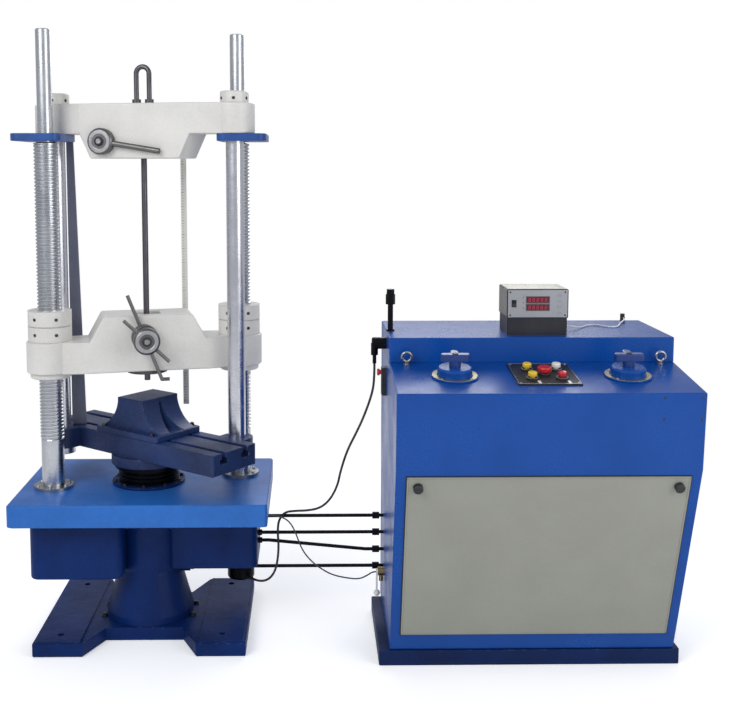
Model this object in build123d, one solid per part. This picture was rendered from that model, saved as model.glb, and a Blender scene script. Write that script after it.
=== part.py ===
from build123d import *

import os
from math import atan2, cos, degrees, hypot, pi, radians, sin, tan

# Universal testing machine: a hydraulic loading unit on the left, a control console on the right.
# Millimetres, +Z up, front towards -Y, origin under the middle of the whole machine.

# Clearances
RUNNING_FIT = 0.05
SEAT_GAP = 0.3
LOOSE_FIT = 1.0

# Plan layout
TABLE_WIDTH = 850
TABLE_DEPTH = 560
UNIT_GAP = 363
PLINTH_WIDTH = 978
DESK_SETBACK = 565
COLUMN_SHARE = 63 / 170
COLUMN_HALF_Y = 75

# Base casting
BASE_WIDTH = 703
BASE_DEPTH = 550
FOOT_WIDTH = 165
FOOT_HEIGHT = 52
WEB_HEIGHT = 46
WEB_SETBACK = 123
WEB_CORNER = 56
FOOT_DRAFT = 8
ANCHOR_HOLE_RADIUS = 11
ANCHOR_INSET = 60

# Cylinder, table and drive housing
CYLINDER_RADIUS = 108.5
CYLINDER_FLANGE_RADIUS = 150
CYLINDER_FLANGE = 24
SKIRT_CLEARANCE = 7
CYLINDER_FLOOR = 34
RAM_RADIUS = 92.5
TABLE_UNDERSIDE = 441
TABLE_THICKNESS = 74
TABLE_CORNER = 14
GLAND_WALL = 9
GLAND_FLANGE_RADIUS = 126
GLAND_FLANGE = 9
HOUSING_OUTSIDE = 67
HOUSING_HEIGHT = 216
HOUSING_WALL = 8
HOUSING_CORNER = 34
WING_NEAR = 103
WING_FAR = 155
WING_INNER = 70
NECK_HALF_DEPTH = 142
NECK_HALF_WIDTH = 190
NECK_HEIGHT = 52
PORT_RADIUS = 15
PORT_REACH = 142

# Screws, bearings and their drive
SCREW_RADIUS = 40
SCREW_SHANK_RADIUS = 38
SCREW_JOURNAL_RADIUS = 33
SCREW_TOP_RADIUS = 25
SCREW_ABOVE_HEAD = 242
SHANK_SHOWN = 175
THREAD_BELOW_PLATE = 7
BUSH_WALL = 18
BUSH_FLANGE_RADIUS = 66
BUSH_FLANGE = 12
SPROCKET_RADIUS = 45
SPROCKET_TEETH = 18
SPROCKET_TOOTH = 5
SPROCKET_THICKNESS = 14
SPROCKET_DROP = 22
JOURNAL_DROP = 92
CHAIN_THICKNESS = 5
CHAIN_HEIGHT = 12
CHAIN_GUIDE_RADIUS = 119
MOTOR_RADIUS = 48
MOTOR_DROP = 304
MOTOR_FLANGE_RADIUS = 57
MOTOR_FLANGE = 10
MOTOR_GLAND_ANGLE = -53

# Ram frame
RAM_SHOWN = 73
RAM_COLLAR_RADIUS = 116
RAM_RIB_RADIUS = 104
RAM_RIB = 7
BEAM_ANGLE = -38
BEAM_LENGTH = 810
BEAM_WIDTH = 210
BEAM_DEPTH = 70
BEAM_CORNER = 6
HUB_RADIUS = 128
HUB_DEPTH = 34
T_SLOT_SPACING = 104
T_SLOT_NECK = 20
T_SLOT_NECK_DEPTH = 20
T_SLOT_WIDTH = 36
T_SLOT_HEIGHT = 16
LUG_RADIUS = 54
COLUMN_RADIUS = 30
COLUMN_HEAD_RADIUS = 44
COLUMN_HEAD = 22
BEND_BLOCK_HEIGHT = 128
BEND_BLOCK_TOP = 122
BEND_BLOCK_WIDTH = 166
BEND_FLANGE_LENGTH = 300
BEND_FLANGE = 20
BEND_FLANGE_OVERHANG = 3
BEND_RIDGE = 16
BEND_NOTCH_WIDTH = 74
BEND_NOTCH_DEPTH = 20

# Lower crosshead
PLATEN_GAP = 85
PLATEN_RADIUS = 68.5
PLATEN_THICKNESS = 14
TEST_BAR_RADIUS = 10
TEST_BAR_BELOW = 31
BAR_HOLE_RADIUS = 15
LOWER_ARM_HEIGHT = 107
LOWER_BLOCK_RISE = 84
LOWER_TOP_SHARE = 0.46324
LOWER_FOOT_SHARE = 0.6053
LOWER_HALF_DEPTH = 85
LOWER_END_DEPTH = 62
LOWER_BOSS_RADIUS = 79
NUT_RADIUS = 72.5
NUT_HEIGHT = 104
NUT_SEAM = 3
LIP_RADIUS = 68
LIP_DEPTH = 19

# Upper crosshead
TEST_SPACE = 529
UPPER_BLOCK_DROP = 83
UPPER_ARM_HEIGHT = 101
UPPER_BOTTOM_SHARE = 0.4864
UPPER_TOP_SHARE = 0.6053
UPPER_HALF_DEPTH = 88
UPPER_END_DEPTH = 56
UPPER_BOSS_RADIUS = 68
CAP_RADIUS = 48
CAP_HEIGHT = 39
CAP_ROOF = 10
TIE_PLATE_THICKNESS = 25
TIE_PLATE_OUTSIDE = 107
TIE_PLATE_INSIDE = 58
TIE_PLATE_ENDS = 60
TIE_PLATE_CORNER = 30
LOOP_WIDTH = 63
LOOP_HEIGHT = 134
LOOP_ROD_RADIUS = 8.5
LOOP_FOOT_RADIUS = 15
LOOP_FOOT = 16

# Jaws and their handles
JAW_SLOT_HALF = 45
JAW_SLOT_DEPTH = 35
JAW_TAPER = 9
JAW_HEIGHT = 110
JAW_TRAVEL = 30
JAW_SLOT_ROOF = 18
JAW_SIDE_GAP = 0.5
SPINDLE_RADIUS = 13
SPINDLE_SEAT = 42
HANDLE_HUB_RADIUS = 44
HANDLE_HUB = 30
UPPER_HANDLE_SHARE = -0.16986
UPPER_HANDLE_RISE = 57
UPPER_LEVER_LENGTH = 165
UPPER_LEVER_RADIUS = 9.5
UPPER_LEVER_ANGLE = -9
LOWER_HANDLE_OFFSET = -15
LOWER_HANDLE_RISE = 119
LOWER_HUB_SPACING = 76
LOWER_BAR_RADIUS = 6
LONG_BAR_LENGTH = 310
LONG_BAR_ANGLE = -69
LONG_BAR_HOOK = 26
SHORT_BAR_LENGTH = 205
SHORT_BAR_ANGLE = -44

# Scale strip and guard plate
STRIP_WIDTH = 20
STRIP_THICKNESS = 4
STRIP_X = 117
STRIP_Y = 140
STRIP_ABOVE_BEAM = 64
STRIP_BRACKET = 22
GUARD_TO_COLUMN = 27
GUARD_Y = 112
GUARD_FOOT = 50
GUARD_HEAD = 24
GUARD_THICKNESS = 8

# Console
PLINTH_HEIGHT = 51
PLINTH_DEPTH = 440
PLINTH_FRONT = 218
CABINET_WIDTH = 926
CABINET_INSET = 34
CABINET_WALL = 4
KNEE_SETBACK = 224
BAND_SETBACK = 15
KNEE_TOP = 705
DESK_FRONT_HEIGHT = 944
DESK_RUN = 304
DESK_BACK_HEIGHT = 981
CABINET_DEPTH = 684
BOX_HEIGHT = 81
PANEL_WIDTH = 858
PANEL_START = 66
PANEL_HEIGHT = 600
PANEL_THICKNESS = 4
PANEL_LAP = 30
PANEL_KNOB_INSET = 34
PANEL_KNOB_RADIUS = 15
PANEL_KNOB_HEIGHT = 18
PANEL_STUD_RADIUS = 5

# Desk fittings
VALVE_OFFSET = 270
VALVE_UP = 161
VALVE_FLANGE_RADIUS = 73.5
VALVE_FLANGE = 6
VALVE_BOSS_RADIUS = 54
VALVE_BOSS = 26
VALVE_STEM_RADIUS = 11
VALVE_STEM_SHOWN = 20
VALVE_STEM_SEAT = 20
VALVE_KNOB_SPAN = 92
VALVE_KNOB_ARM = 26
VALVE_KNOB_THICKNESS = 22
BUTTON_PLATE_X = 10
BUTTON_PLATE_UP = 175
BUTTON_PLATE_WIDTH = 196
BUTTON_PLATE_LENGTH = 206
BUTTON_PLATE_THICKNESS = 5
BUTTON_RADIUS = 14
BUTTON_BEZEL_RADIUS = 19
BUTTON_BEZEL = 6
BUTTON_SHOWN = 12
BUTTON_STEM_RADIUS = 8
BUTTON_STEM = 22
BUTTON_TRAVEL = 5
BUTTON_COLUMNS = 46
BUTTON_ROWS = 44
BUTTON_FORWARD = 10
MUSHROOM_RADIUS = 22
MUSHROOM_HEIGHT = 14
EYEBOLT_INSET = 54
EYEBOLT_FRONT = 26
EYEBOLT_RING = 15
EYEBOLT_WIRE = 5
EYEBOLT_SHANK = 12

# Indicator
INDICATOR_X = 26
INDICATOR_WIDTH = 201
INDICATOR_DEPTH = 150
INDICATOR_SETBACK = 351
INDICATOR_BASE = 56
INDICATOR_CASE = 96
INDICATOR_BASE_INSET = 2
INDICATOR_WALL = 3
FACE_THICKNESS = 4
WINDOW_WIDTH = 74
WINDOW_HEIGHT = 19
WINDOW_STEP = 25
ROCKER_WIDTH = 14
ROCKER_HEIGHT = 22
ROCKER_DEPTH = 12
ROCKER_PIN_RADIUS = 2
ROCKER_X = -78

# Left-side fittings of the console, given from the front edge of the desk
FITTING_SETBACK = 453
STANDPIPE_INSET = 14
STANDPIPE_RADIUS = 9
STANDPIPE_HEIGHT = 90
STANDPIPE_NUT_RADIUS = 16
STANDPIPE_NUT = 34
STANDPIPE_CAP = 17
TRANSDUCER_RADIUS = 20
TRANSDUCER_LENGTH = 48
TRANSDUCER_DROP = 42
GLAND_RADIUS = 9
GLAND_TUBE_RADIUS = 6.5
TRANSDUCER_GLAND = 49
SWITCH_BOX_DEPTH = 16
SWITCH_BOX_WIDTH = 34
SWITCH_BOX_HEIGHT = 95
SWITCH_BOX_TOP = 938
SIDE_BUTTON_RADIUS = 12
SIDE_BUTTON_SHOWN = 13
COCK_SETBACK = 488
COCK_DROP = 229
COCK_BODY_RADIUS = 15
COCK_BODY_LENGTH = 22
COCK_LEVER_LENGTH = 78
COCK_LEVER_THICKNESS = 6
COCK_LEVER_WIDTH = 15
COCK_KNOB_RADIUS = 11
COCK_PIN_RADIUS = 5

# Pipes between the two units
PIPE_RADIUS = 6
PIPE_SETBACK = 552
PIPE_DROPS = (51, 111, 139, 233)
PIPE_END_DROPS = (51, 111, 173, 233)
UNION_RADIUS = 12
UNION_LENGTH = 24
UNION_STANDOFF = 14
NIPPLE_RADIUS = 10
NIPPLE_LENGTH = 14

# Power pack inside the console
TANK_WIDTH = 520
TANK_DEPTH = 320
TANK_HEIGHT = 240
PUMP_MOTOR_RADIUS = 82
PUMP_MOTOR_LENGTH = 230
PUMP_RADIUS = 52
PUMP_LENGTH = 120
PUMP_FOOT = 20

# Cables
SIGNAL_CABLE_RADIUS = 4
LEAD_RADIUS = 2.5
ARC_SHARE = 0.45
CABLE_GLAND_LENGTH = 20
CABLE_GLAND_RADIUS = 8
CABLE_OVER_PIPE = 118
CABLE_OFF_WING = 279

# Derived places
COLUMN_HALF_X = TABLE_WIDTH * COLUMN_SHARE
HOUSING_WIDTH = 2 * (COLUMN_HALF_X + HOUSING_OUTSIDE)
BEAM_TURN = radians(-BEAM_ANGLE)
BEAM_REACH_Y = (BEAM_LENGTH / 2 - BEAM_CORNER) * sin(BEAM_TURN) + BEAM_CORNER
BEAM_REACH_Y += (BEAM_WIDTH / 2 - BEAM_CORNER) * cos(BEAM_TURN)
TOTAL_WIDTH = TABLE_WIDTH + UNIT_GAP + PLINTH_WIDTH
TOTAL_DEPTH = DESK_SETBACK + BEAM_REACH_Y
UNIT_X = TABLE_WIDTH / 2 - TOTAL_WIDTH / 2
UNIT_Y = TOTAL_DEPTH / 2 - BEAM_REACH_Y
DESK_FRONT = -TOTAL_DEPTH / 2
TABLE_TOP = TABLE_UNDERSIDE + TABLE_THICKNESS
CYLINDER_SKIRT_TOP = TABLE_UNDERSIDE - HOUSING_HEIGHT - SKIRT_CLEARANCE
MOTOR_BOTTOM = TABLE_UNDERSIDE - MOTOR_DROP
COCK_HEIGHT = TABLE_UNDERSIDE - COCK_DROP
PIPE_HEIGHTS = [TABLE_UNDERSIDE - drop for drop in PIPE_DROPS]
PIPE_END_HEIGHTS = [TABLE_UNDERSIDE - drop for drop in PIPE_END_DROPS]
BEAM_UNDERSIDE = TABLE_TOP + RAM_SHOWN + HUB_DEPTH
BEAM_TOP = BEAM_UNDERSIDE + BEAM_DEPTH
BEND_TOP = BEAM_TOP + BEND_BLOCK_HEIGHT
STRIP_BOTTOM = BEAM_TOP + STRIP_ABOVE_BEAM
PLATEN_BOTTOM = BEND_TOP + PLATEN_GAP
LOWER_BOTTOM = PLATEN_BOTTOM + PLATEN_THICKNESS
LOWER_ARM_TOP = LOWER_BOTTOM + LOWER_ARM_HEIGHT
LOWER_TOP = LOWER_ARM_TOP + LOWER_BLOCK_RISE
UPPER_BOTTOM = LOWER_TOP + TEST_SPACE
UPPER_ARM_BOTTOM = UPPER_BOTTOM + UPPER_BLOCK_DROP
UPPER_TOP = UPPER_ARM_BOTTOM + UPPER_ARM_HEIGHT
CROSSHEAD_ANGLE = degrees(atan2(COLUMN_HALF_Y, COLUMN_HALF_X))
COLUMN_HALF_SPAN = hypot(COLUMN_HALF_X, COLUMN_HALF_Y)
COLUMN_SPAN = 2 * COLUMN_HALF_SPAN
LOWER_BLOCK_TOP = COLUMN_SPAN * LOWER_TOP_SHARE
LOWER_BLOCK_FOOT = COLUMN_SPAN * LOWER_FOOT_SHARE
UPPER_BLOCK_BOTTOM = COLUMN_SPAN * UPPER_BOTTOM_SHARE
UPPER_BLOCK_TOP = COLUMN_SPAN * UPPER_TOP_SHARE
UPPER_HANDLE_OFFSET = COLUMN_SPAN * UPPER_HANDLE_SHARE
GUARD_X = GUARD_TO_COLUMN - COLUMN_HALF_X
THREAD_START = TABLE_TOP + SHANK_SHOWN
THREAD_END = UPPER_ARM_BOTTOM - TIE_PLATE_THICKNESS - THREAD_BELOW_PLATE
SCREW_TOP = UPPER_TOP + SCREW_ABOVE_HEAD
PLINTH_LEFT = TOTAL_WIDTH / 2 - PLINTH_WIDTH
CABINET_LEFT = PLINTH_LEFT + CABINET_INSET
CABINET_X = CABINET_LEFT + CABINET_WIDTH / 2
BOX_FRONT = DESK_FRONT + DESK_RUN
BOX_TOP = DESK_BACK_HEIGHT + BOX_HEIGHT
CABINET_BACK = DESK_FRONT + CABINET_DEPTH
FITTING_Y = DESK_FRONT + FITTING_SETBACK
PIPE_Y = DESK_FRONT + PIPE_SETBACK
JAW_SLOPE = tan(radians(JAW_TAPER))

FRONT_SCREW = (-COLUMN_HALF_X, -COLUMN_HALF_Y)
REAR_SCREW = (COLUMN_HALF_X, COLUMN_HALF_Y)
REAR_COLUMN = (-COLUMN_HALF_X, COLUMN_HALF_Y)
FRONT_COLUMN = (COLUMN_HALF_X, -COLUMN_HALF_Y)
SCREWS = (FRONT_SCREW, REAR_SCREW)
COLUMNS = (REAR_COLUMN, FRONT_COLUMN)

UNIT = Pos(UNIT_X, UNIT_Y, 0)
LOWER = UNIT * Rot(0, 0, CROSSHEAD_ANGLE)
UPPER = UNIT * Rot(0, 0, -CROSSHEAD_ANGLE)
BEAM = UNIT * Rot(0, 0, BEAM_ANGLE)
DESK_ANGLE = degrees(atan2(DESK_BACK_HEIGHT - DESK_FRONT_HEIGHT, DESK_RUN))
DESK = Pos(CABINET_X, DESK_FRONT, DESK_FRONT_HEIGHT) * Rot(DESK_ANGLE, 0, 0)
KNEE_FOOT_Y = DESK_FRONT + KNEE_SETBACK
KNEE_TOP_Y = DESK_FRONT + BAND_SETBACK
KNEE_ANGLE = degrees(atan2(KNEE_FOOT_Y - KNEE_TOP_Y, KNEE_TOP - PLINTH_HEIGHT))
KNEE = Pos(CABINET_X, KNEE_FOOT_Y, PLINTH_HEIGHT) * Rot(90 + KNEE_ANGLE, 0, 0)


def post(radius, bottom, top, at=(0, 0)):
    """An upright cylinder between two heights."""
    place = Pos(at[0], at[1], bottom)
    return place * Cylinder(radius, top - bottom, align=(Align.CENTER, Align.CENTER, Align.MIN))


def tube(outer, inner, bottom, top, at=(0, 0)):
    """An upright ring between two heights."""
    return post(outer, bottom, top, at) - post(inner, bottom, top, at)


def rod(start, end, radius):
    """A round bar between two points."""
    along = Vector(*end) - Vector(*start)
    place = Plane(origin=start, z_dir=along).location
    return place * Cylinder(radius, along.length, align=(Align.CENTER, Align.CENTER, Align.MIN))


def slab(x0, x1, y0, y1, z0, z1):
    """A block between two corners."""
    return Pos((x0 + x1) / 2, (y0 + y1) / 2, (z0 + z1) / 2) * Box(x1 - x0, y1 - y0, z1 - z0)


def rounded_slab(x0, x1, y0, y1, z0, z1, corner):
    """A block whose upright edges are rounded."""
    outline = Pos((x0 + x1) / 2, (y0 + y1) / 2, z0) * RectangleRounded(x1 - x0, y1 - y0, corner)
    return extrude(outline, z1 - z0)


def front_profile(points, half_depth):
    """A plate whose outline, seen from the front, is drawn in X and Z."""
    return extrude(Plane.XZ * Polygon(*points, align=None), half_depth, both=True)


def side_profile(points, start, length):
    """A prism whose outline, seen from the side, is drawn in Y and Z."""
    return Pos(start, 0, 0) * extrude(Plane.YZ * Polygon(*points, align=None), length, dir=(1, 0, 0))


def turned(points):
    """A solid of revolution about Z from radius and height pairs."""
    return revolve(Plane.XZ * Polygon(*points, align=None), Axis.Z)


def group(solids):
    """Several separate solids that share one node."""
    return Compound(children=[piece for solid in solids for piece in solid.solids()])


def base_casting():
    half_x = BASE_WIDTH / 2
    half_y = BASE_DEPTH / 2
    foot_x = half_x - FOOT_WIDTH
    web_x = foot_x - WEB_CORNER
    web_y = half_y - WEB_SETBACK
    front = [(-half_x, -half_y), (-foot_x, -half_y), (-web_x, -web_y)]
    right = [(web_x, -web_y), (foot_x, -half_y), (half_x, -half_y)]
    back = [(-x, -y) for x, y in front + right]
    casting = extrude(Polygon(*front, *right, *back, align=None), WEB_HEIGHT, dir=(0, 0, 1))
    for side in (-1, 1):
        outline = Pos(side * (half_x - FOOT_WIDTH / 2), 0) * Rectangle(FOOT_WIDTH, BASE_DEPTH)
        casting += extrude(outline, FOOT_HEIGHT, taper=FOOT_DRAFT)
    for x in (-1, 1):
        for y in (-1, 1):
            at = (x * (half_x - FOOT_WIDTH / 2), y * (half_y - ANCHOR_INSET))
            casting -= post(ANCHOR_HOLE_RADIUS, 0, FOOT_HEIGHT, at)
    return UNIT * casting


def ram_cylinder():
    bore = RAM_RADIUS + RUNNING_FIT
    flange_top = WEB_HEIGHT + CYLINDER_FLANGE
    floor_top = WEB_HEIGHT + CYLINDER_FLOOR
    outside = turned([
        (0, WEB_HEIGHT), (CYLINDER_FLANGE_RADIUS, WEB_HEIGHT), (CYLINDER_FLANGE_RADIUS, flange_top),
        (CYLINDER_RADIUS, CYLINDER_SKIRT_TOP), (CYLINDER_RADIUS, TABLE_UNDERSIDE), (0, TABLE_UNDERSIDE),
    ])
    port_y = PIPE_Y - UNIT_Y
    port_z = PIPE_HEIGHTS[-1]
    outside += rod((0, port_y, port_z), (PORT_REACH, port_y, port_z), PORT_RADIUS)
    barrel = outside - post(bore, floor_top, TABLE_UNDERSIDE)
    ring_outer = bore + GLAND_WALL - RUNNING_FIT
    ring = tube(ring_outer, bore, TABLE_UNDERSIDE, TABLE_TOP)
    ring += tube(GLAND_FLANGE_RADIUS, bore, TABLE_TOP, TABLE_TOP + GLAND_FLANGE)
    guide_top = TABLE_UNDERSIDE - SPROCKET_DROP
    guide = tube(CHAIN_GUIDE_RADIUS, CYLINDER_RADIUS + RUNNING_FIT, guide_top - SPROCKET_THICKNESS, guide_top)
    return group([UNIT * barrel, UNIT * ring, UNIT * guide])


def table_plate():
    plate = rounded_slab(
        -TABLE_WIDTH / 2, TABLE_WIDTH / 2, -TABLE_DEPTH / 2, TABLE_DEPTH / 2,
        TABLE_UNDERSIDE, TABLE_TOP, TABLE_CORNER)
    plate = chamfer(plate.faces().sort_by(Axis.Z)[-1].edges(), 4)
    plate -= post(RAM_RADIUS + RUNNING_FIT + GLAND_WALL, TABLE_UNDERSIDE, TABLE_TOP)
    for at in SCREWS:
        plate -= post(SCREW_JOURNAL_RADIUS + BUSH_WALL, TABLE_UNDERSIDE, TABLE_TOP, at)
    return UNIT * plate


def wing_box(side, shrink, bottom):
    """One wing of the drive housing, drawn in by a wall thickness."""
    outer = HOUSING_WIDTH / 2 - shrink
    inner = WING_INNER + shrink
    near = -COLUMN_HALF_Y - WING_NEAR + shrink
    far = -COLUMN_HALF_Y + WING_FAR - shrink
    wing = rounded_slab(-outer, -inner, near, far, bottom, TABLE_UNDERSIDE, HOUSING_CORNER - shrink)
    return wing if side < 0 else Rot(0, 0, 180) * wing


def drive_housing():
    bottom = TABLE_UNDERSIDE - HOUSING_HEIGHT
    neck_bottom = TABLE_UNDERSIDE - NECK_HEIGHT
    outside = slab(-NECK_HALF_WIDTH, NECK_HALF_WIDTH, -NECK_HALF_DEPTH, NECK_HALF_DEPTH,
                   neck_bottom, TABLE_UNDERSIDE)
    depth = NECK_HALF_DEPTH - HOUSING_WALL
    inside = slab(-NECK_HALF_WIDTH, NECK_HALF_WIDTH, -depth, depth,
                  neck_bottom + HOUSING_WALL, TABLE_UNDERSIDE)
    for side in (-1, 1):
        outside += wing_box(side, 0, bottom)
        inside += wing_box(side, HOUSING_WALL, bottom + HOUSING_WALL)
    housing = outside - inside - post(CYLINDER_RADIUS + LOOSE_FIT, 0, TABLE_UNDERSIDE)
    housing -= post(MOTOR_RADIUS + SEAT_GAP, 0, bottom + HOUSING_WALL, REAR_SCREW)
    return UNIT * housing


def screw_bearings():
    bore = SCREW_JOURNAL_RADIUS + RUNNING_FIT
    outer = SCREW_JOURNAL_RADIUS + BUSH_WALL - RUNNING_FIT
    bushes = []
    for at in SCREWS:
        bush = tube(outer, bore, TABLE_UNDERSIDE, TABLE_TOP, at)
        bushes.append(UNIT * (bush + tube(BUSH_FLANGE_RADIUS, bore, TABLE_TOP, TABLE_TOP + BUSH_FLANGE, at)))
    return group(bushes)


def drive_motor():
    bottom = TABLE_UNDERSIDE - HOUSING_HEIGHT
    seat = bottom + HOUSING_WALL
    shaft_top = TABLE_UNDERSIDE - JOURNAL_DROP - SEAT_GAP
    motor = post(MOTOR_RADIUS, MOTOR_BOTTOM, shaft_top - 20, REAR_SCREW)
    motor = fillet(motor.edges().sort_by(Axis.Z)[:1], 8)
    motor += post(MOTOR_FLANGE_RADIUS, seat, seat + MOTOR_FLANGE, REAR_SCREW)
    motor += post(14, MOTOR_BOTTOM, shaft_top, REAR_SCREW)
    return UNIT * motor


def sprocket(at):
    """A chain wheel with square-cut teeth on the lower end of a screw."""
    top = TABLE_UNDERSIDE - SPROCKET_DROP
    bottom = top - SPROCKET_THICKNESS
    wheel = post(SPROCKET_RADIUS - SPROCKET_TOOTH, bottom, top)
    tooth_width = pi * SPROCKET_RADIUS / SPROCKET_TEETH
    root = SPROCKET_RADIUS - 2 * SPROCKET_TOOTH
    tooth = slab(root, SPROCKET_RADIUS - RUNNING_FIT, -tooth_width / 2, tooth_width / 2, bottom, top)
    for n in range(SPROCKET_TEETH):
        wheel += Rot(0, 0, 360 * n / SPROCKET_TEETH) * tooth
    wheel -= post(SCREW_JOURNAL_RADIUS + RUNNING_FIT, bottom, top)
    return Pos(at[0], at[1], 0) * wheel


def screw(at):
    shoulder = TABLE_TOP + BUSH_FLANGE + SEAT_GAP
    end = TABLE_UNDERSIDE - JOURNAL_DROP
    shaft = turned([
        (0, end), (SCREW_JOURNAL_RADIUS, end), (SCREW_JOURNAL_RADIUS, shoulder),
        (SCREW_SHANK_RADIUS, shoulder), (SCREW_SHANK_RADIUS, THREAD_START), (SCREW_RADIUS, THREAD_START),
        (SCREW_RADIUS, THREAD_END), (SCREW_TOP_RADIUS, THREAD_END), (SCREW_TOP_RADIUS, SCREW_TOP),
        (0, SCREW_TOP),
    ])
    return group([UNIT * Pos(at[0], at[1], 0) * shaft, UNIT * sprocket(at)])


def drive_chain():
    top = TABLE_UNDERSIDE - SPROCKET_DROP - (SPROCKET_THICKNESS - CHAIN_HEIGHT) / 2
    loops = []
    for extra in (SEAT_GAP, SEAT_GAP + CHAIN_THICKNESS):
        wheels = [Pos(*at) * Circle(SPROCKET_RADIUS + extra) for at in SCREWS]
        wheels.append(Circle(CHAIN_GUIDE_RADIUS + extra))
        loops.append(make_hull(edges=[edge for wheel in wheels for edge in wheel.edges()]))
    band = extrude(loops[1] - loops[0], CHAIN_HEIGHT)
    return UNIT * Pos(0, 0, top - CHAIN_HEIGHT) * band


def ram():
    seat = TABLE_TOP + RAM_SHOWN
    bottom = WEB_HEIGHT + CYLINDER_FLOOR + SEAT_GAP
    outline = [(0, bottom), (RAM_RADIUS, bottom)]
    collar = seat - 2 * RAM_RIB
    z = TABLE_TOP + GLAND_FLANGE + SEAT_GAP
    outline += [(RAM_RADIUS, z)]
    while z + 2 * RAM_RIB < collar:
        outline += [(RAM_RIB_RADIUS, z), (RAM_RIB_RADIUS, z + RAM_RIB)]
        outline += [(RAM_RADIUS, z + RAM_RIB), (RAM_RADIUS, z + 2 * RAM_RIB)]
        z += 2 * RAM_RIB
    outline += [(RAM_RADIUS, collar), (RAM_COLLAR_RADIUS, collar), (RAM_COLLAR_RADIUS, seat), (0, seat)]
    return UNIT * turned(outline)


def in_beam(at):
    """A loading-unit place in the beam's own axes."""
    turn = radians(BEAM_ANGLE)
    return (at[0] * cos(turn) + at[1] * sin(turn), at[1] * cos(turn) - at[0] * sin(turn))


def lower_table():
    beam = rounded_slab(-BEAM_LENGTH / 2, BEAM_LENGTH / 2, -BEAM_WIDTH / 2, BEAM_WIDTH / 2,
                        BEAM_UNDERSIDE, BEAM_TOP, BEAM_CORNER)
    for v in (-T_SLOT_SPACING / 2, T_SLOT_SPACING / 2):
        neck_bottom = BEAM_TOP - T_SLOT_NECK_DEPTH
        beam -= slab(-BEAM_LENGTH / 2, BEAM_LENGTH / 2, v - T_SLOT_NECK / 2, v + T_SLOT_NECK / 2,
                     neck_bottom, BEAM_TOP)
        beam -= slab(-BEAM_LENGTH / 2, BEAM_LENGTH / 2, v - T_SLOT_WIDTH / 2, v + T_SLOT_WIDTH / 2,
                     neck_bottom - T_SLOT_HEIGHT, neck_bottom)
    beam += post(HUB_RADIUS, TABLE_TOP + RAM_SHOWN, BEAM_UNDERSIDE)
    for at in COLUMNS:
        u, v = in_beam(at)
        side = 1 if v > 0 else -1
        edge = side * BEAM_WIDTH / 2
        ear = post(LUG_RADIUS, BEAM_UNDERSIDE, BEAM_TOP, (u, v))
        low, high = sorted((edge - side * T_SLOT_WIDTH / 2, v))
        ear += slab(u - LUG_RADIUS, u + LUG_RADIUS, low, high, BEAM_UNDERSIDE, BEAM_TOP)
        slot_edge = side * (T_SLOT_SPACING + T_SLOT_WIDTH) / 2
        low, high = sorted((slot_edge, -side * BEAM_WIDTH))
        ear -= slab(u - 2 * LUG_RADIUS, u + 2 * LUG_RADIUS, low, high, BEAM_UNDERSIDE, BEAM_TOP)
        beam += ear
        beam -= post(COLUMN_RADIUS + RUNNING_FIT, BEAM_UNDERSIDE, BEAM_TOP, (u, v))
    return BEAM * beam


def straight_columns():
    shafts = []
    for at in COLUMNS:
        shaft = post(COLUMN_RADIUS, BEAM_UNDERSIDE, UPPER_TOP + CAP_HEIGHT - CAP_ROOF - SEAT_GAP, at)
        shaft += post(COLUMN_HEAD_RADIUS, BEAM_UNDERSIDE - COLUMN_HEAD, BEAM_UNDERSIDE, at)
        shafts.append(UNIT * shaft)
    return group(shafts)


def casting_plan(half_depth, end_depth, block_half, boss_radius):
    """The plan outline of a crosshead: a deep middle, arms that taper, round bosses."""
    span = COLUMN_HALF_SPAN
    quarter = [(-span, -end_depth), (-block_half, -half_depth), (block_half, -half_depth), (span, -end_depth)]
    plan = Sketch() + Polygon(*quarter, *[(-x, -y) for x, y in quarter], align=None)
    for side in (-1, 1):
        plan += Pos(side * span, 0) * Circle(boss_radius)
    return plan


def upper_slot_half(z):
    """Half the width of the upper jaw slot at a height: it narrows downwards."""
    return JAW_SLOT_HALF + (z - UPPER_BOTTOM) * JAW_SLOPE


def lower_slot_half(z):
    """Half the width of the lower jaw slot at a height: it narrows upwards."""
    return JAW_SLOT_HALF + (LOWER_TOP - z) * JAW_SLOPE


def jaw_slot(width_at, bottom, top):
    """The tapered hole through a crosshead for its pair of jaws."""
    low = width_at(bottom)
    high = width_at(top)
    return front_profile([(-low, bottom), (low, bottom), (high, top), (-high, top)], JAW_SLOT_DEPTH)


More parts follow.
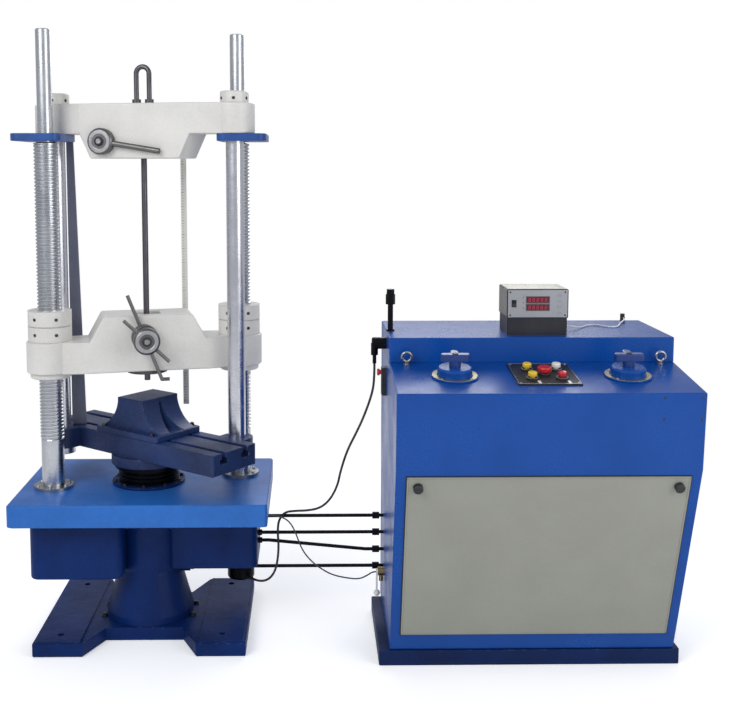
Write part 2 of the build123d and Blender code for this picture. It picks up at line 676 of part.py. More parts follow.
def upper_crosshead():
    reach = COLUMN_HALF_SPAN + UPPER_BOSS_RADIUS
    low = UPPER_BLOCK_BOTTOM / 2
    high = UPPER_BLOCK_TOP / 2
    outline = [
        (-reach, UPPER_ARM_BOTTOM), (-high, UPPER_ARM_BOTTOM), (-low, UPPER_BOTTOM), (low, UPPER_BOTTOM),
        (high, UPPER_ARM_BOTTOM), (reach, UPPER_ARM_BOTTOM), (reach, UPPER_TOP), (-reach, UPPER_TOP),
    ]
    front = front_profile(outline, UPPER_HALF_DEPTH)
    plan = casting_plan(UPPER_HALF_DEPTH, UPPER_END_DEPTH, high, UPPER_BOSS_RADIUS)
    body = front & (Pos(0, 0, UPPER_BOTTOM) * extrude(plan, UPPER_TOP - UPPER_BOTTOM))
    body -= jaw_slot(upper_slot_half, UPPER_BOTTOM, UPPER_TOP - JAW_SLOT_ROOF)
    for side in (-1, 1):
        body -= post(COLUMN_RADIUS + RUNNING_FIT, UPPER_ARM_BOTTOM, UPPER_TOP, (side * COLUMN_HALF_SPAN, 0))
    seat = UPPER_HALF_DEPTH - SPINDLE_SEAT
    z = UPPER_BOTTOM + UPPER_HANDLE_RISE
    body -= rod((UPPER_HANDLE_OFFSET, -UPPER_HALF_DEPTH, z), (UPPER_HANDLE_OFFSET, -seat, z),
                SPINDLE_RADIUS + RUNNING_FIT)
    return UPPER * body


def column_collars():
    caps = []
    for at in COLUMNS:
        cap = post(CAP_RADIUS, UPPER_TOP, UPPER_TOP + CAP_HEIGHT, at)
        cap = chamfer(cap.edges().sort_by(Axis.Z)[-1:], 4)
        cap -= post(COLUMN_RADIUS + RUNNING_FIT, UPPER_TOP, UPPER_TOP + CAP_HEIGHT - CAP_ROOF, at)
        caps.append(UNIT * cap)
    return group(caps)


def lifting_loop():
    half = LOOP_WIDTH / 2 - LOOP_ROD_RADIUS
    turn_z = UPPER_TOP + LOOP_HEIGHT - LOOP_WIDTH / 2
    left = Line((-half, 0, UPPER_TOP), (-half, 0, turn_z))
    over = ThreePointArc((-half, 0, turn_z), (0, 0, turn_z + half), (half, 0, turn_z))
    right = Line((half, 0, turn_z), (half, 0, UPPER_TOP))
    section = Pos(-half, 0, UPPER_TOP) * Circle(LOOP_ROD_RADIUS)
    loop = sweep(section, path=Wire([left, over, right]))
    for side in (-1, 1):
        loop += post(LOOP_FOOT_RADIUS, UPPER_TOP, UPPER_TOP + LOOP_FOOT, (side * half, 0))
    return UPPER * loop


def tie_plates():
    top = UPPER_ARM_BOTTOM
    bottom = top - TIE_PLATE_THICKNESS
    half_y = COLUMN_HALF_Y + TIE_PLATE_ENDS
    plates = []
    for column, guided in ((REAR_COLUMN, FRONT_SCREW), (FRONT_COLUMN, REAR_SCREW)):
        side = 1 if column[0] > 0 else -1
        x0, x1 = sorted((column[0] + side * TIE_PLATE_OUTSIDE, column[0] - side * TIE_PLATE_INSIDE))
        plate = rounded_slab(x0, x1, -half_y, half_y, bottom, top, TIE_PLATE_CORNER)
        plate -= post(COLUMN_RADIUS + RUNNING_FIT, bottom, top, column)
        plate -= post(SCREW_TOP_RADIUS + LOOSE_FIT, bottom, top, guided)
        plates.append(UNIT * plate)
    return group(plates)


def scale_strip():
    bracket_top = UPPER_BOTTOM + STRIP_BRACKET
    strip = slab(STRIP_X - STRIP_WIDTH / 2, STRIP_X + STRIP_WIDTH / 2, STRIP_Y, STRIP_Y + STRIP_THICKNESS,
                 STRIP_BOTTOM, bracket_top + STRIP_BRACKET)
    turn = radians(CROSSHEAD_ANGLE)
    bracket_u = STRIP_X * cos(turn) - STRIP_Y * sin(turn)
    bracket_v = STRIP_X * sin(turn) + STRIP_Y * cos(turn)
    bracket = slab(bracket_u - STRIP_WIDTH / 2, bracket_u + STRIP_WIDTH / 2,
                   UPPER_HALF_DEPTH, bracket_v + STRIP_THICKNESS, bracket_top, bracket_top + STRIP_THICKNESS)
    return UNIT * strip + UPPER * bracket


def guard_plate():
    top = UPPER_ARM_BOTTOM - TIE_PLATE_THICKNESS
    foot = GUARD_X + GUARD_FOOT
    outline = [(GUARD_X, BEAM_TOP), (foot, BEAM_TOP), (GUARD_X + GUARD_HEAD, top), (GUARD_X, top)]
    return UNIT * Pos(0, GUARD_Y, 0) * front_profile(outline, GUARD_THICKNESS / 2)


def bending_block():
    half_flange = BEND_FLANGE_LENGTH / 2
    half_top = BEND_BLOCK_TOP / 2
    flange_top = BEAM_TOP + BEND_FLANGE
    ridge = BEND_TOP - BEND_RIDGE
    sag = (half_flange - half_top) * 0.28
    middle_z = (flange_top + ridge) / 2
    half_mid = (half_flange + half_top) / 2 - sag
    right = ThreePointArc((half_flange - 6, flange_top), (half_mid, middle_z), (half_top, ridge))
    left = ThreePointArc((-half_top, ridge), (-half_mid, middle_z), (6 - half_flange, flange_top))
    roof = Polyline((half_top, ridge), (half_top, BEND_TOP), (-half_top, BEND_TOP), (-half_top, ridge))
    foot = Line((6 - half_flange, flange_top), (half_flange - 6, flange_top))
    outline = make_face(Wire([right, *roof.edges(), left, foot]))
    block = extrude(Plane.XZ * outline, BEND_BLOCK_WIDTH / 2, both=True)
    half_depth = BEAM_WIDTH / 2 + BEND_FLANGE_OVERHANG
    block += rounded_slab(-half_flange, half_flange, -half_depth, half_depth, BEAM_TOP, flange_top, 12)
    for side in (-1, 1):
        outer = side * half_flange
        notch = Polygon((outer, -BEND_NOTCH_WIDTH / 2), (outer, BEND_NOTCH_WIDTH / 2),
                        (side * (half_top - BEND_NOTCH_DEPTH), 0), align=None)
        block -= Pos(0, 0, flange_top) * extrude(notch, ridge - flange_top, dir=(0, 0, 1))
    return BEAM * block


def test_bar():
    top = UPPER_TOP - JAW_SLOT_ROOF - JAW_TRAVEL
    return UNIT * post(TEST_BAR_RADIUS, PLATEN_BOTTOM - TEST_BAR_BELOW, top)


def lower_crosshead():
    reach = COLUMN_HALF_SPAN + LOWER_BOSS_RADIUS
    low = LOWER_BLOCK_FOOT / 2
    high = LOWER_BLOCK_TOP / 2
    outline = [
        (-reach, LOWER_BOTTOM), (reach, LOWER_BOTTOM), (reach, LOWER_ARM_TOP), (low, LOWER_ARM_TOP),
        (high, LOWER_TOP), (-high, LOWER_TOP), (-low, LOWER_ARM_TOP), (-reach, LOWER_ARM_TOP),
    ]
    front = front_profile(outline, LOWER_HALF_DEPTH)
    plan = casting_plan(LOWER_HALF_DEPTH, LOWER_END_DEPTH, low, LOWER_BOSS_RADIUS)
    body = front & (Pos(0, 0, LOWER_BOTTOM) * extrude(plan, LOWER_TOP - LOWER_BOTTOM))
    for side in (-1, 1):
        at = (side * COLUMN_HALF_SPAN, 0)
        body += post(LIP_RADIUS, LOWER_BOTTOM - LIP_DEPTH, LOWER_BOTTOM, at)
        body -= post(SCREW_RADIUS + LOOSE_FIT, LOWER_BOTTOM - LIP_DEPTH, LOWER_ARM_TOP, at)
    body -= jaw_slot(lower_slot_half, LOWER_BOTTOM, LOWER_TOP)
    z = LOWER_BOTTOM + LOWER_HANDLE_RISE
    seat = LOWER_HALF_DEPTH - SPINDLE_SEAT
    body -= rod((LOWER_HANDLE_OFFSET, -LOWER_HALF_DEPTH, z), (LOWER_HANDLE_OFFSET, -seat, z),
                SPINDLE_RADIUS + RUNNING_FIT)
    return LOWER * body


def screw_nuts():
    nuts = []
    for at in SCREWS:
        middle = LOWER_ARM_TOP + NUT_HEIGHT / 2
        nut = tube(NUT_RADIUS, SCREW_RADIUS + RUNNING_FIT, LOWER_ARM_TOP, LOWER_ARM_TOP + NUT_HEIGHT, at)
        half_seam = NUT_SEAM / 2
        nut -= tube(NUT_RADIUS + LOOSE_FIT, NUT_RADIUS - NUT_SEAM, middle - half_seam, middle + half_seam, at)
        nuts.append(UNIT * nut)
    return group(nuts)


def platen():
    return UNIT * tube(PLATEN_RADIUS, BAR_HOLE_RADIUS, PLATEN_BOTTOM, LOWER_BOTTOM)


def jaw(side, width_at, bottom):
    """One wedge of a pair: its flat face grips the bar, its slope rides the slot."""
    top = bottom + JAW_HEIGHT
    grip = TEST_BAR_RADIUS + SEAT_GAP
    outline = [
        (side * grip, bottom), (side * (width_at(bottom) - SEAT_GAP), bottom),
        (side * (width_at(top) - SEAT_GAP), top), (side * grip, top),
    ]
    return front_profile(outline, JAW_SLOT_DEPTH - JAW_SIDE_GAP)


def upper_jaw(side):
    bottom = UPPER_TOP - JAW_SLOT_ROOF - JAW_TRAVEL - JAW_HEIGHT - 5
    return UPPER * jaw(side, upper_slot_half, bottom)


def lower_jaw(side):
    bottom = LOWER_BOTTOM + JAW_TRAVEL + 8
    return LOWER * jaw(side, lower_slot_half, bottom)


def upper_jaw_handle():
    z = UPPER_BOTTOM + UPPER_HANDLE_RISE
    u = UPPER_HANDLE_OFFSET
    face = -UPPER_HALF_DEPTH
    hub_back = face - SEAT_GAP
    hub_front = hub_back - HANDLE_HUB
    handle = rod((u, hub_back, z), (u, hub_front, z), HANDLE_HUB_RADIUS)
    handle = chamfer(handle.edges().sort_by(Axis.Y)[:1], 5)
    handle += rod((u, hub_back, z), (u, face + SPINDLE_SEAT - SEAT_GAP, z), SPINDLE_RADIUS)
    turn = radians(UPPER_LEVER_ANGLE)
    reach = HANDLE_HUB_RADIUS + UPPER_LEVER_LENGTH
    middle = (hub_back + hub_front) / 2
    handle += rod((u, middle, z), (u + reach * cos(turn), middle, z + reach * sin(turn)), UPPER_LEVER_RADIUS)
    return UPPER * handle


def cross_bar(u, v, z, length, angle):
    """A thin bar through a hub, centred on it."""
    turn = radians(angle)
    along = (length / 2 * cos(turn), length / 2 * sin(turn))
    return rod((u - along[0], v, z - along[1]), (u + along[0], v, z + along[1]), LOWER_BAR_RADIUS)


def lower_jaw_handle():
    z = LOWER_BOTTOM + LOWER_HANDLE_RISE
    u = LOWER_HANDLE_OFFSET
    face = -LOWER_HALF_DEPTH
    inner = face - SEAT_GAP
    outer = inner - LOWER_HUB_SPACING
    handle = rod((u, face + SPINDLE_SEAT - SEAT_GAP, z), (u, outer, z), SPINDLE_RADIUS)
    bars = ((inner, LONG_BAR_LENGTH, LONG_BAR_ANGLE), (outer, SHORT_BAR_LENGTH, SHORT_BAR_ANGLE))
    for back, length, angle in bars:
        hub = rod((u, back, z), (u, back - HANDLE_HUB, z), HANDLE_HUB_RADIUS)
        hub = chamfer(hub.edges().sort_by(Axis.Y)[:1], 5)
        handle += hub + cross_bar(u, back - HANDLE_HUB / 2, z, length, angle)
    turn = radians(LONG_BAR_ANGLE)
    tip = (u + LONG_BAR_LENGTH / 2 * cos(turn), inner - HANDLE_HUB / 2, z + LONG_BAR_LENGTH / 2 * sin(turn))
    handle += Pos(*tip) * Sphere(LOWER_BAR_RADIUS)
    handle += rod(tip, (tip[0] + LONG_BAR_HOOK, tip[1], tip[2]), LOWER_BAR_RADIUS)
    return LOWER * handle


def cabinet_outline():
    return [
        (KNEE_FOOT_Y, PLINTH_HEIGHT), (KNEE_TOP_Y, KNEE_TOP), (DESK_FRONT, DESK_FRONT_HEIGHT),
        (BOX_FRONT, DESK_BACK_HEIGHT), (CABINET_BACK, DESK_BACK_HEIGHT), (CABINET_BACK, PLINTH_HEIGHT),
    ]


def console_cabinet():
    outside = side_profile(cabinet_outline(), CABINET_LEFT, CABINET_WIDTH)
    hollow = offset(Polygon(*cabinet_outline(), align=None), -CABINET_WALL, kind=Kind.INTERSECTION)
    inside = extrude(Plane.YZ * hollow, CABINET_WIDTH - 2 * CABINET_WALL, dir=(1, 0, 0))
    inside = Pos(CABINET_LEFT + CABINET_WALL, 0, 0) * inside
    shell = outside - inside
    window = Pos(0, PANEL_START + PANEL_HEIGHT / 2, 0)
    window *= Box(PANEL_WIDTH - 2 * PANEL_LAP, PANEL_HEIGHT - 2 * PANEL_LAP, 4 * CABINET_WALL)
    shell -= KNEE * window
    for side in (-1, 1):
        stud = Pos(side * (PANEL_WIDTH / 2 - PANEL_KNOB_INSET), PANEL_START + PANEL_HEIGHT - PANEL_KNOB_INSET, 0)
        shell -= KNEE * stud * Cylinder(PANEL_STUD_RADIUS + RUNNING_FIT, 4 * CABINET_WALL)
    for x, y in button_places():
        shell -= DESK * Pos(x, y, 0) * Cylinder(BUTTON_STEM_RADIUS + LOOSE_FIT, 4 * CABINET_WALL)
    for side in (-1, 1):
        stem_hole = Cylinder(VALVE_STEM_RADIUS + LOOSE_FIT, 4 * CABINET_WALL)
        shell -= DESK * Pos(side * VALVE_OFFSET, VALVE_UP, 0) * stem_hole
    return shell


def console_plinth():
    front = DESK_FRONT + PLINTH_FRONT
    return rounded_slab(PLINTH_LEFT, PLINTH_LEFT + PLINTH_WIDTH, front, front + PLINTH_DEPTH, 0, PLINTH_HEIGHT, 6)


def service_panel():
    panel = Pos(0, PANEL_START + PANEL_HEIGHT / 2, PANEL_THICKNESS / 2)
    panel *= Box(PANEL_WIDTH, PANEL_HEIGHT, PANEL_THICKNESS)
    for side in (-1, 1):
        stud = Pos(side * (PANEL_WIDTH / 2 - PANEL_KNOB_INSET), PANEL_START + PANEL_HEIGHT - PANEL_KNOB_INSET, 0)
        panel -= stud * Cylinder(PANEL_STUD_RADIUS + RUNNING_FIT, 4 * PANEL_THICKNESS)
    return KNEE * panel


def panel_knob(side):
    knob = post(PANEL_KNOB_RADIUS, PANEL_THICKNESS + SEAT_GAP, PANEL_THICKNESS + PANEL_KNOB_HEIGHT)
    knob = chamfer(knob.edges().sort_by(Axis.Z)[-1:], 3)
    knob += post(PANEL_STUD_RADIUS, -2 * CABINET_WALL, PANEL_THICKNESS + PANEL_KNOB_HEIGHT / 2)
    at = Pos(side * (PANEL_WIDTH / 2 - PANEL_KNOB_INSET), PANEL_START + PANEL_HEIGHT - PANEL_KNOB_INSET, 0)
    return KNEE * at * knob


def raised_box():
    outside = slab(CABINET_LEFT, CABINET_LEFT + CABINET_WIDTH, BOX_FRONT, CABINET_BACK, DESK_BACK_HEIGHT, BOX_TOP)
    outside = fillet(outside.edges().filter_by(Axis.Z), 6)
    wall = CABINET_WALL
    inside = slab(CABINET_LEFT + wall, CABINET_LEFT + CABINET_WIDTH - wall, BOX_FRONT + wall, CABINET_BACK - wall,
                  DESK_BACK_HEIGHT, BOX_TOP - wall)
    return outside - inside


def valve_bodies():
    bodies = []
    bore = VALVE_STEM_RADIUS + RUNNING_FIT
    for side in (-1, 1):
        top = VALVE_FLANGE + VALVE_BOSS
        body = tube(VALVE_FLANGE_RADIUS, bore, 0, VALVE_FLANGE)
        body += tube(VALVE_BOSS_RADIUS, bore, VALVE_FLANGE, top)
        rims = body.edges().filter_by(GeomType.CIRCLE).group_by(Axis.Z)[-1]
        body = chamfer(rims.sort_by(SortBy.LENGTH)[-1:], 5)
        bodies.append(DESK * Pos(side * VALVE_OFFSET, VALVE_UP, 0) * body)
    return group(bodies)


def valve_knob(side):
    seat = VALVE_FLANGE + VALVE_BOSS
    knob_bottom = seat + VALVE_STEM_SHOWN
    bar = extrude(SlotOverall(VALVE_KNOB_SPAN, VALVE_KNOB_ARM), VALVE_KNOB_THICKNESS)
    arm_length = VALVE_KNOB_SPAN * 0.4 + VALVE_KNOB_ARM / 2
    arm = Pos(0, VALVE_KNOB_SPAN / 5) * SlotOverall(arm_length, VALVE_KNOB_ARM, 90)
    knob = Pos(0, 0, knob_bottom) * (bar + extrude(arm, VALVE_KNOB_THICKNESS))
    knob = fillet(knob.faces().sort_by(Axis.Z)[-1].edges(), 4)
    stem = post(VALVE_STEM_RADIUS, seat - VALVE_STEM_SEAT, knob_bottom)
    skirt = post(VALVE_STEM_RADIUS + 7, seat + SEAT_GAP, knob_bottom)
    return DESK * Pos(side * VALVE_OFFSET, VALVE_UP, 0) * (knob + stem + skirt)


def button_places():
    """Centres of the five buttons, in the desk's own axes: two left, one middle, two right."""
    x = BUTTON_PLATE_X
    y = BUTTON_PLATE_UP - BUTTON_FORWARD
    left = x - BUTTON_COLUMNS
    right = x + BUTTON_COLUMNS
    rear = y + BUTTON_ROWS
    front = y - BUTTON_ROWS
    return [(left, rear), (left, front), (x, y), (right, rear), (right, front)]


def button_plate():
    base = Pos(BUTTON_PLATE_X, BUTTON_PLATE_UP, BUTTON_PLATE_THICKNESS / 2)
    base *= Box(BUTTON_PLATE_WIDTH, BUTTON_PLATE_LENGTH, BUTTON_PLATE_THICKNESS)
    for at in button_places():
        base += post(BUTTON_BEZEL_RADIUS, BUTTON_PLATE_THICKNESS, BUTTON_PLATE_THICKNESS + BUTTON_BEZEL, at)
        base -= post(BUTTON_STEM_RADIUS + RUNNING_FIT, 0, BUTTON_PLATE_THICKNESS + BUTTON_BEZEL, at)
    return DESK * base


def push_button(place, radius, height):
    bottom = BUTTON_PLATE_THICKNESS + BUTTON_BEZEL + BUTTON_TRAVEL + LOOSE_FIT
    cap = post(radius, bottom, bottom + height)
    cap = fillet(cap.edges().sort_by(Axis.Z)[-1:], min(radius, height) / 3)
    cap += post(BUTTON_STEM_RADIUS, bottom - BUTTON_STEM, bottom)
    return DESK * Pos(place[0], place[1], 0) * cap


def eyebolts():
    bolts = []
    for side in (-1, 1):
        x = side * (CABINET_WIDTH / 2 - EYEBOLT_INSET)
        y = (DESK_RUN - EYEBOLT_FRONT) / cos(radians(DESK_ANGLE))
        centre = EYEBOLT_SHANK + EYEBOLT_RING
        ring = Pos(0, 0, centre) * Rot(90, 0, 0) * Torus(EYEBOLT_RING, EYEBOLT_WIRE)
        bolt = ring + post(EYEBOLT_WIRE + 2, 0, EYEBOLT_SHANK) + post(EYEBOLT_WIRE + 6, 0, 5)
        bolts.append(DESK * Pos(x, y, 0) * bolt)
    return group(bolts)


INDICATOR_LEFT = CABINET_X + INDICATOR_X - INDICATOR_WIDTH / 2
INDICATOR_FRONT = DESK_FRONT + INDICATOR_SETBACK
CASE_BOTTOM = BOX_TOP + INDICATOR_BASE
FACE_MIDDLE = CASE_BOTTOM + INDICATOR_CASE / 2


def indicator_case():
    inset = INDICATOR_BASE_INSET
    right = INDICATOR_LEFT + INDICATOR_WIDTH
    back = INDICATOR_FRONT + INDICATOR_DEPTH
    base = slab(INDICATOR_LEFT + inset, right - inset, INDICATOR_FRONT + inset, back - inset,
                BOX_TOP, CASE_BOTTOM)
    base = fillet(base.edges().filter_by(Axis.Z), 5)
    case = slab(INDICATOR_LEFT, right, INDICATOR_FRONT, back, CASE_BOTTOM, CASE_BOTTOM + INDICATOR_CASE)
    case = fillet(case.edges().filter_by(Axis.Y), 5)
    wall = INDICATOR_WALL
    case -= slab(INDICATOR_LEFT + wall, right - wall, INDICATOR_FRONT, back - wall,
                 CASE_BOTTOM + wall, CASE_BOTTOM + INDICATOR_CASE - wall)
    return group([base, case])


def indicator_face():
    wall = INDICATOR_WALL
    right = INDICATOR_LEFT + INDICATOR_WIDTH
    back = INDICATOR_FRONT + FACE_THICKNESS
    face = slab(INDICATOR_LEFT + wall, right - wall, INDICATOR_FRONT, back,
                CASE_BOTTOM + wall, CASE_BOTTOM + INDICATOR_CASE - wall)
    x = INDICATOR_LEFT + INDICATOR_WIDTH / 2
    windows = []
    for step in (-0.5, 0.5):
        bottom = FACE_MIDDLE + step * WINDOW_STEP - WINDOW_HEIGHT / 2
        top = bottom + WINDOW_HEIGHT
        half = WINDOW_WIDTH / 2
        window = slab(x - half, x + half, INDICATOR_FRONT + SEAT_GAP, back, bottom, top)
        face -= slab(x - half, x + half, INDICATOR_FRONT, back, bottom, top)
        windows.append(window)
    half_width = ROCKER_WIDTH / 2 + LOOSE_FIT
    half_height = ROCKER_HEIGHT / 2 + LOOSE_FIT
    face -= slab(x + ROCKER_X - half_width, x + ROCKER_X + half_width, INDICATOR_FRONT, back,
                 FACE_MIDDLE - half_height, FACE_MIDDLE + half_height)
    for side in (-1, 1):
        outer = x + ROCKER_X + side * (half_width + FACE_THICKNESS)
        inner = x + ROCKER_X + side * half_width
        low, high = sorted((outer, inner))
        cheek = slab(low, high, back, back + ROCKER_DEPTH, FACE_MIDDLE - 5, FACE_MIDDLE + 5)
        pivot = back + ROCKER_DEPTH / 2
        cheek -= rod((low, pivot, FACE_MIDDLE), (high, pivot, FACE_MIDDLE), ROCKER_PIN_RADIUS + RUNNING_FIT)
        face += cheek
    return group([face, *windows])


def rocker_switch():
    x = INDICATOR_LEFT + INDICATOR_WIDTH / 2 + ROCKER_X
    pivot = INDICATOR_FRONT + FACE_THICKNESS + ROCKER_DEPTH / 2
    reach = ROCKER_HEIGHT / 2 - LOOSE_FIT
    front = INDICATOR_FRONT - pivot
    outline = [(front - 3, -reach), (front - 0.5, 0), (front - 3, reach), (2, reach - 3), (2, 3 - reach)]
    body = side_profile(outline, -ROCKER_WIDTH / 2, ROCKER_WIDTH)
    half_pin = ROCKER_WIDTH / 2 + LOOSE_FIT + FACE_THICKNESS
    body += rod((-half_pin, 0, 0), (half_pin, 0, 0), ROCKER_PIN_RADIUS)
    return Pos(x, pivot, FACE_MIDDLE) * body


def pressure_fittings():
    at = (CABINET_LEFT + STANDPIPE_INSET, FITTING_Y)
    nut_bottom = BOX_TOP + STANDPIPE_HEIGHT
    pipe = post(STANDPIPE_RADIUS, BOX_TOP, nut_bottom, at)
    pipe += post(STANDPIPE_RADIUS + 5, BOX_TOP, BOX_TOP + 6, at)
    nut = Pos(at[0], at[1], nut_bottom) * extrude(RegularPolygon(STANDPIPE_NUT_RADIUS, 6), STANDPIPE_NUT)
    cap = post(STANDPIPE_NUT_RADIUS - 3, nut_bottom + STANDPIPE_NUT, nut_bottom + STANDPIPE_NUT + STANDPIPE_CAP, at)
    z = BOX_TOP - TRANSDUCER_DROP
    outer = CABINET_LEFT - TRANSDUCER_LENGTH
    body = rod((CABINET_LEFT, FITTING_Y, z), (outer, FITTING_Y, z), TRANSDUCER_RADIUS)
    body = chamfer(body.edges().sort_by(Axis.X)[:1], 4)
    gland_x = outer + GLAND_RADIUS
    drop = z - TRANSDUCER_RADIUS - TRANSDUCER_GLAND
    body += post(GLAND_RADIUS + 3, z - TRANSDUCER_RADIUS - 20, z, (gland_x, FITTING_Y))
    body += post(GLAND_TUBE_RADIUS, drop, z, (gland_x, FITTING_Y))
    return group([pipe + nut + cap, body])


def side_switch_box():
    outer = CABINET_LEFT - SWITCH_BOX_DEPTH
    half = SWITCH_BOX_WIDTH / 2
    bottom = SWITCH_BOX_TOP - SWITCH_BOX_HEIGHT
    box = slab(outer, CABINET_LEFT, FITTING_Y - half, FITTING_Y + half, bottom, SWITCH_BOX_TOP)
    box = fillet(box.faces().sort_by(Axis.X)[0].edges(), 3)
    z = SWITCH_BOX_TOP - half
    return box - rod((outer, FITTING_Y, z), (CABINET_LEFT, FITTING_Y, z), BUTTON_STEM_RADIUS + RUNNING_FIT)


def side_button():
    outer = CABINET_LEFT - SWITCH_BOX_DEPTH - BUTTON_TRAVEL - LOOSE_FIT
    z = SWITCH_BOX_TOP - SWITCH_BOX_WIDTH / 2
    tip = outer - SIDE_BUTTON_SHOWN + BUTTON_TRAVEL
    cap = rod((outer, FITTING_Y, z), (tip, FITTING_Y, z), SIDE_BUTTON_RADIUS)
    cap = fillet(cap.edges().sort_by(Axis.X)[:1], 3)
    inner = CABINET_LEFT - BUTTON_TRAVEL - LOOSE_FIT
    return cap + rod((outer, FITTING_Y, z), (inner, FITTING_Y, z), BUTTON_STEM_RADIUS)


COCK_Y = DESK_FRONT + COCK_SETBACK


def drain_cock():
    outer = CABINET_LEFT - COCK_BODY_LENGTH
    body = rod((CABINET_LEFT, COCK_Y, COCK_HEIGHT), (outer, COCK_Y, COCK_HEIGHT), COCK_BODY_RADIUS)
    spout_x = CABINET_LEFT - COCK_BODY_LENGTH / 2
    body += rod((spout_x, COCK_Y, COCK_HEIGHT), (spout_x, COCK_Y, COCK_HEIGHT - 34), 7)
    pin = COCK_PIN_RADIUS + RUNNING_FIT
    return body - rod((outer, COCK_Y, COCK_HEIGHT), (outer + 14, COCK_Y, COCK_HEIGHT), pin)


def cock_lever():
    back = CABINET_LEFT - COCK_BODY_LENGTH - SEAT_GAP
    front = back - COCK_LEVER_THICKNESS
    tip = COCK_HEIGHT - COCK_LEVER_LENGTH
    blade = slab(front, back, COCK_Y - COCK_LEVER_WIDTH / 2, COCK_Y + COCK_LEVER_WIDTH / 2, tip, COCK_HEIGHT)
    blade += rod((back, COCK_Y, COCK_HEIGHT), (front, COCK_Y, COCK_HEIGHT), COCK_LEVER_WIDTH / 2 + 2)
    blade += Pos((front + back) / 2, COCK_Y, tip) * Sphere(COCK_KNOB_RADIUS)
    return blade + rod((back, COCK_Y, COCK_HEIGHT), (back + 12, COCK_Y, COCK_HEIGHT), COCK_PIN_RADIUS)


def hydraulic_pipes():
    pieces = []
    wing = UNIT_X + HOUSING_WIDTH / 2
    starts = [wing] * (len(PIPE_HEIGHTS) - 1) + [UNIT_X + PORT_REACH]
    for start_x, start_z, end_z in zip(starts, PIPE_HEIGHTS, PIPE_END_HEIGHTS):
        elbow_x = CABINET_LEFT - UNION_STANDOFF - UNION_LENGTH
        if start_z == end_z:
            pipe = rod((start_x, PIPE_Y, start_z), (CABINET_LEFT, PIPE_Y, end_z), PIPE_RADIUS)
        else:
            left_x = start_x + NIPPLE_LENGTH + UNION_LENGTH
            pipe = rod((start_x, PIPE_Y, start_z), (left_x, PIPE_Y, start_z), PIPE_RADIUS)
            pipe += Pos(left_x, PIPE_Y, start_z) * Sphere(PIPE_RADIUS)
            pipe += rod((left_x, PIPE_Y, start_z), (elbow_x - UNION_LENGTH, PIPE_Y, end_z), PIPE_RADIUS)
            pipe += Pos(elbow_x - UNION_LENGTH, PIPE_Y, end_z) * Sphere(PIPE_RADIUS)
            pipe += rod((elbow_x - UNION_LENGTH, PIPE_Y, end_z), (CABINET_LEFT, PIPE_Y, end_z), PIPE_RADIUS)
        pieces.append(pipe)
        ends = (
            (elbow_x, UNION_LENGTH, UNION_RADIUS, end_z),
            (start_x, NIPPLE_LENGTH, NIPPLE_RADIUS, start_z),
        )
        for x, length, radius, z in ends:
            fitting = rod((x, PIPE_Y, z), (x + length, PIPE_Y, z), radius)
            pieces.append(fitting - rod((x, PIPE_Y, z), (x + length, PIPE_Y, z), PIPE_RADIUS + RUNNING_FIT))
    return group(pieces)


def power_pack():
    floor = PLINTH_HEIGHT + CABINET_WALL
    middle_y = CABINET_BACK - CABINET_WALL - TANK_DEPTH / 2 - 30
    tank = slab(CABINET_X - TANK_WIDTH / 2, CABINET_X + TANK_WIDTH / 2, middle_y - TANK_DEPTH / 2,
                middle_y + TANK_DEPTH / 2, floor, floor + TANK_HEIGHT)
    tank = fillet(tank.edges().filter_by(Axis.Z), 12)
    top = floor + TANK_HEIGHT
    axis = top + PUMP_FOOT + PUMP_MOTOR_RADIUS
    left = CABINET_X - PUMP_MOTOR_LENGTH
    motor = rod((left, middle_y, axis), (CABINET_X, middle_y, axis), PUMP_MOTOR_RADIUS)
    half_foot = PUMP_MOTOR_RADIUS * 0.7
    motor += slab(left + 30, CABINET_X - 30, middle_y - half_foot, middle_y + half_foot,
                  top, axis)
    pump = rod((CABINET_X, middle_y, axis), (CABINET_X + PUMP_LENGTH, middle_y, axis), PUMP_RADIUS)
    pump += slab(CABINET_X + 20, CABINET_X + PUMP_LENGTH - 20, middle_y - PUMP_RADIUS * 0.7,
                 middle_y + PUMP_RADIUS * 0.7, top, axis)
    return group([tank, motor, pump])


# Cables. Each route starts and ends at a gland, and its points are given from the thing they pass.
TRANSDUCER_GLAND_X = CABINET_LEFT - TRANSDUCER_LENGTH + GLAND_RADIUS
TRANSDUCER_GLAND_END = BOX_TOP - TRANSDUCER_DROP - TRANSDUCER_RADIUS - TRANSDUCER_GLAND
WING_SIDE = UNIT_X + HOUSING_WIDTH / 2
MOTOR_GLAND_HEIGHT = MOTOR_BOTTOM + 13
MOTOR_CENTRE = Vector(UNIT_X + REAR_SCREW[0], UNIT_Y + REAR_SCREW[1], MOTOR_GLAND_HEIGHT)
GLAND_TURN = radians(MOTOR_GLAND_ANGLE)
GLAND_WAY = Vector(cos(GLAND_TURN), sin(GLAND_TURN), 0)
MOTOR_GLAND_END = MOTOR_CENTRE + GLAND_WAY * (MOTOR_RADIUS + CABLE_GLAND_LENGTH)


def shifted(anchor, offsets):
    """Points given as offsets from an anchor."""
    return [Vector(*anchor) + Vector(*offset) for offset in offsets]


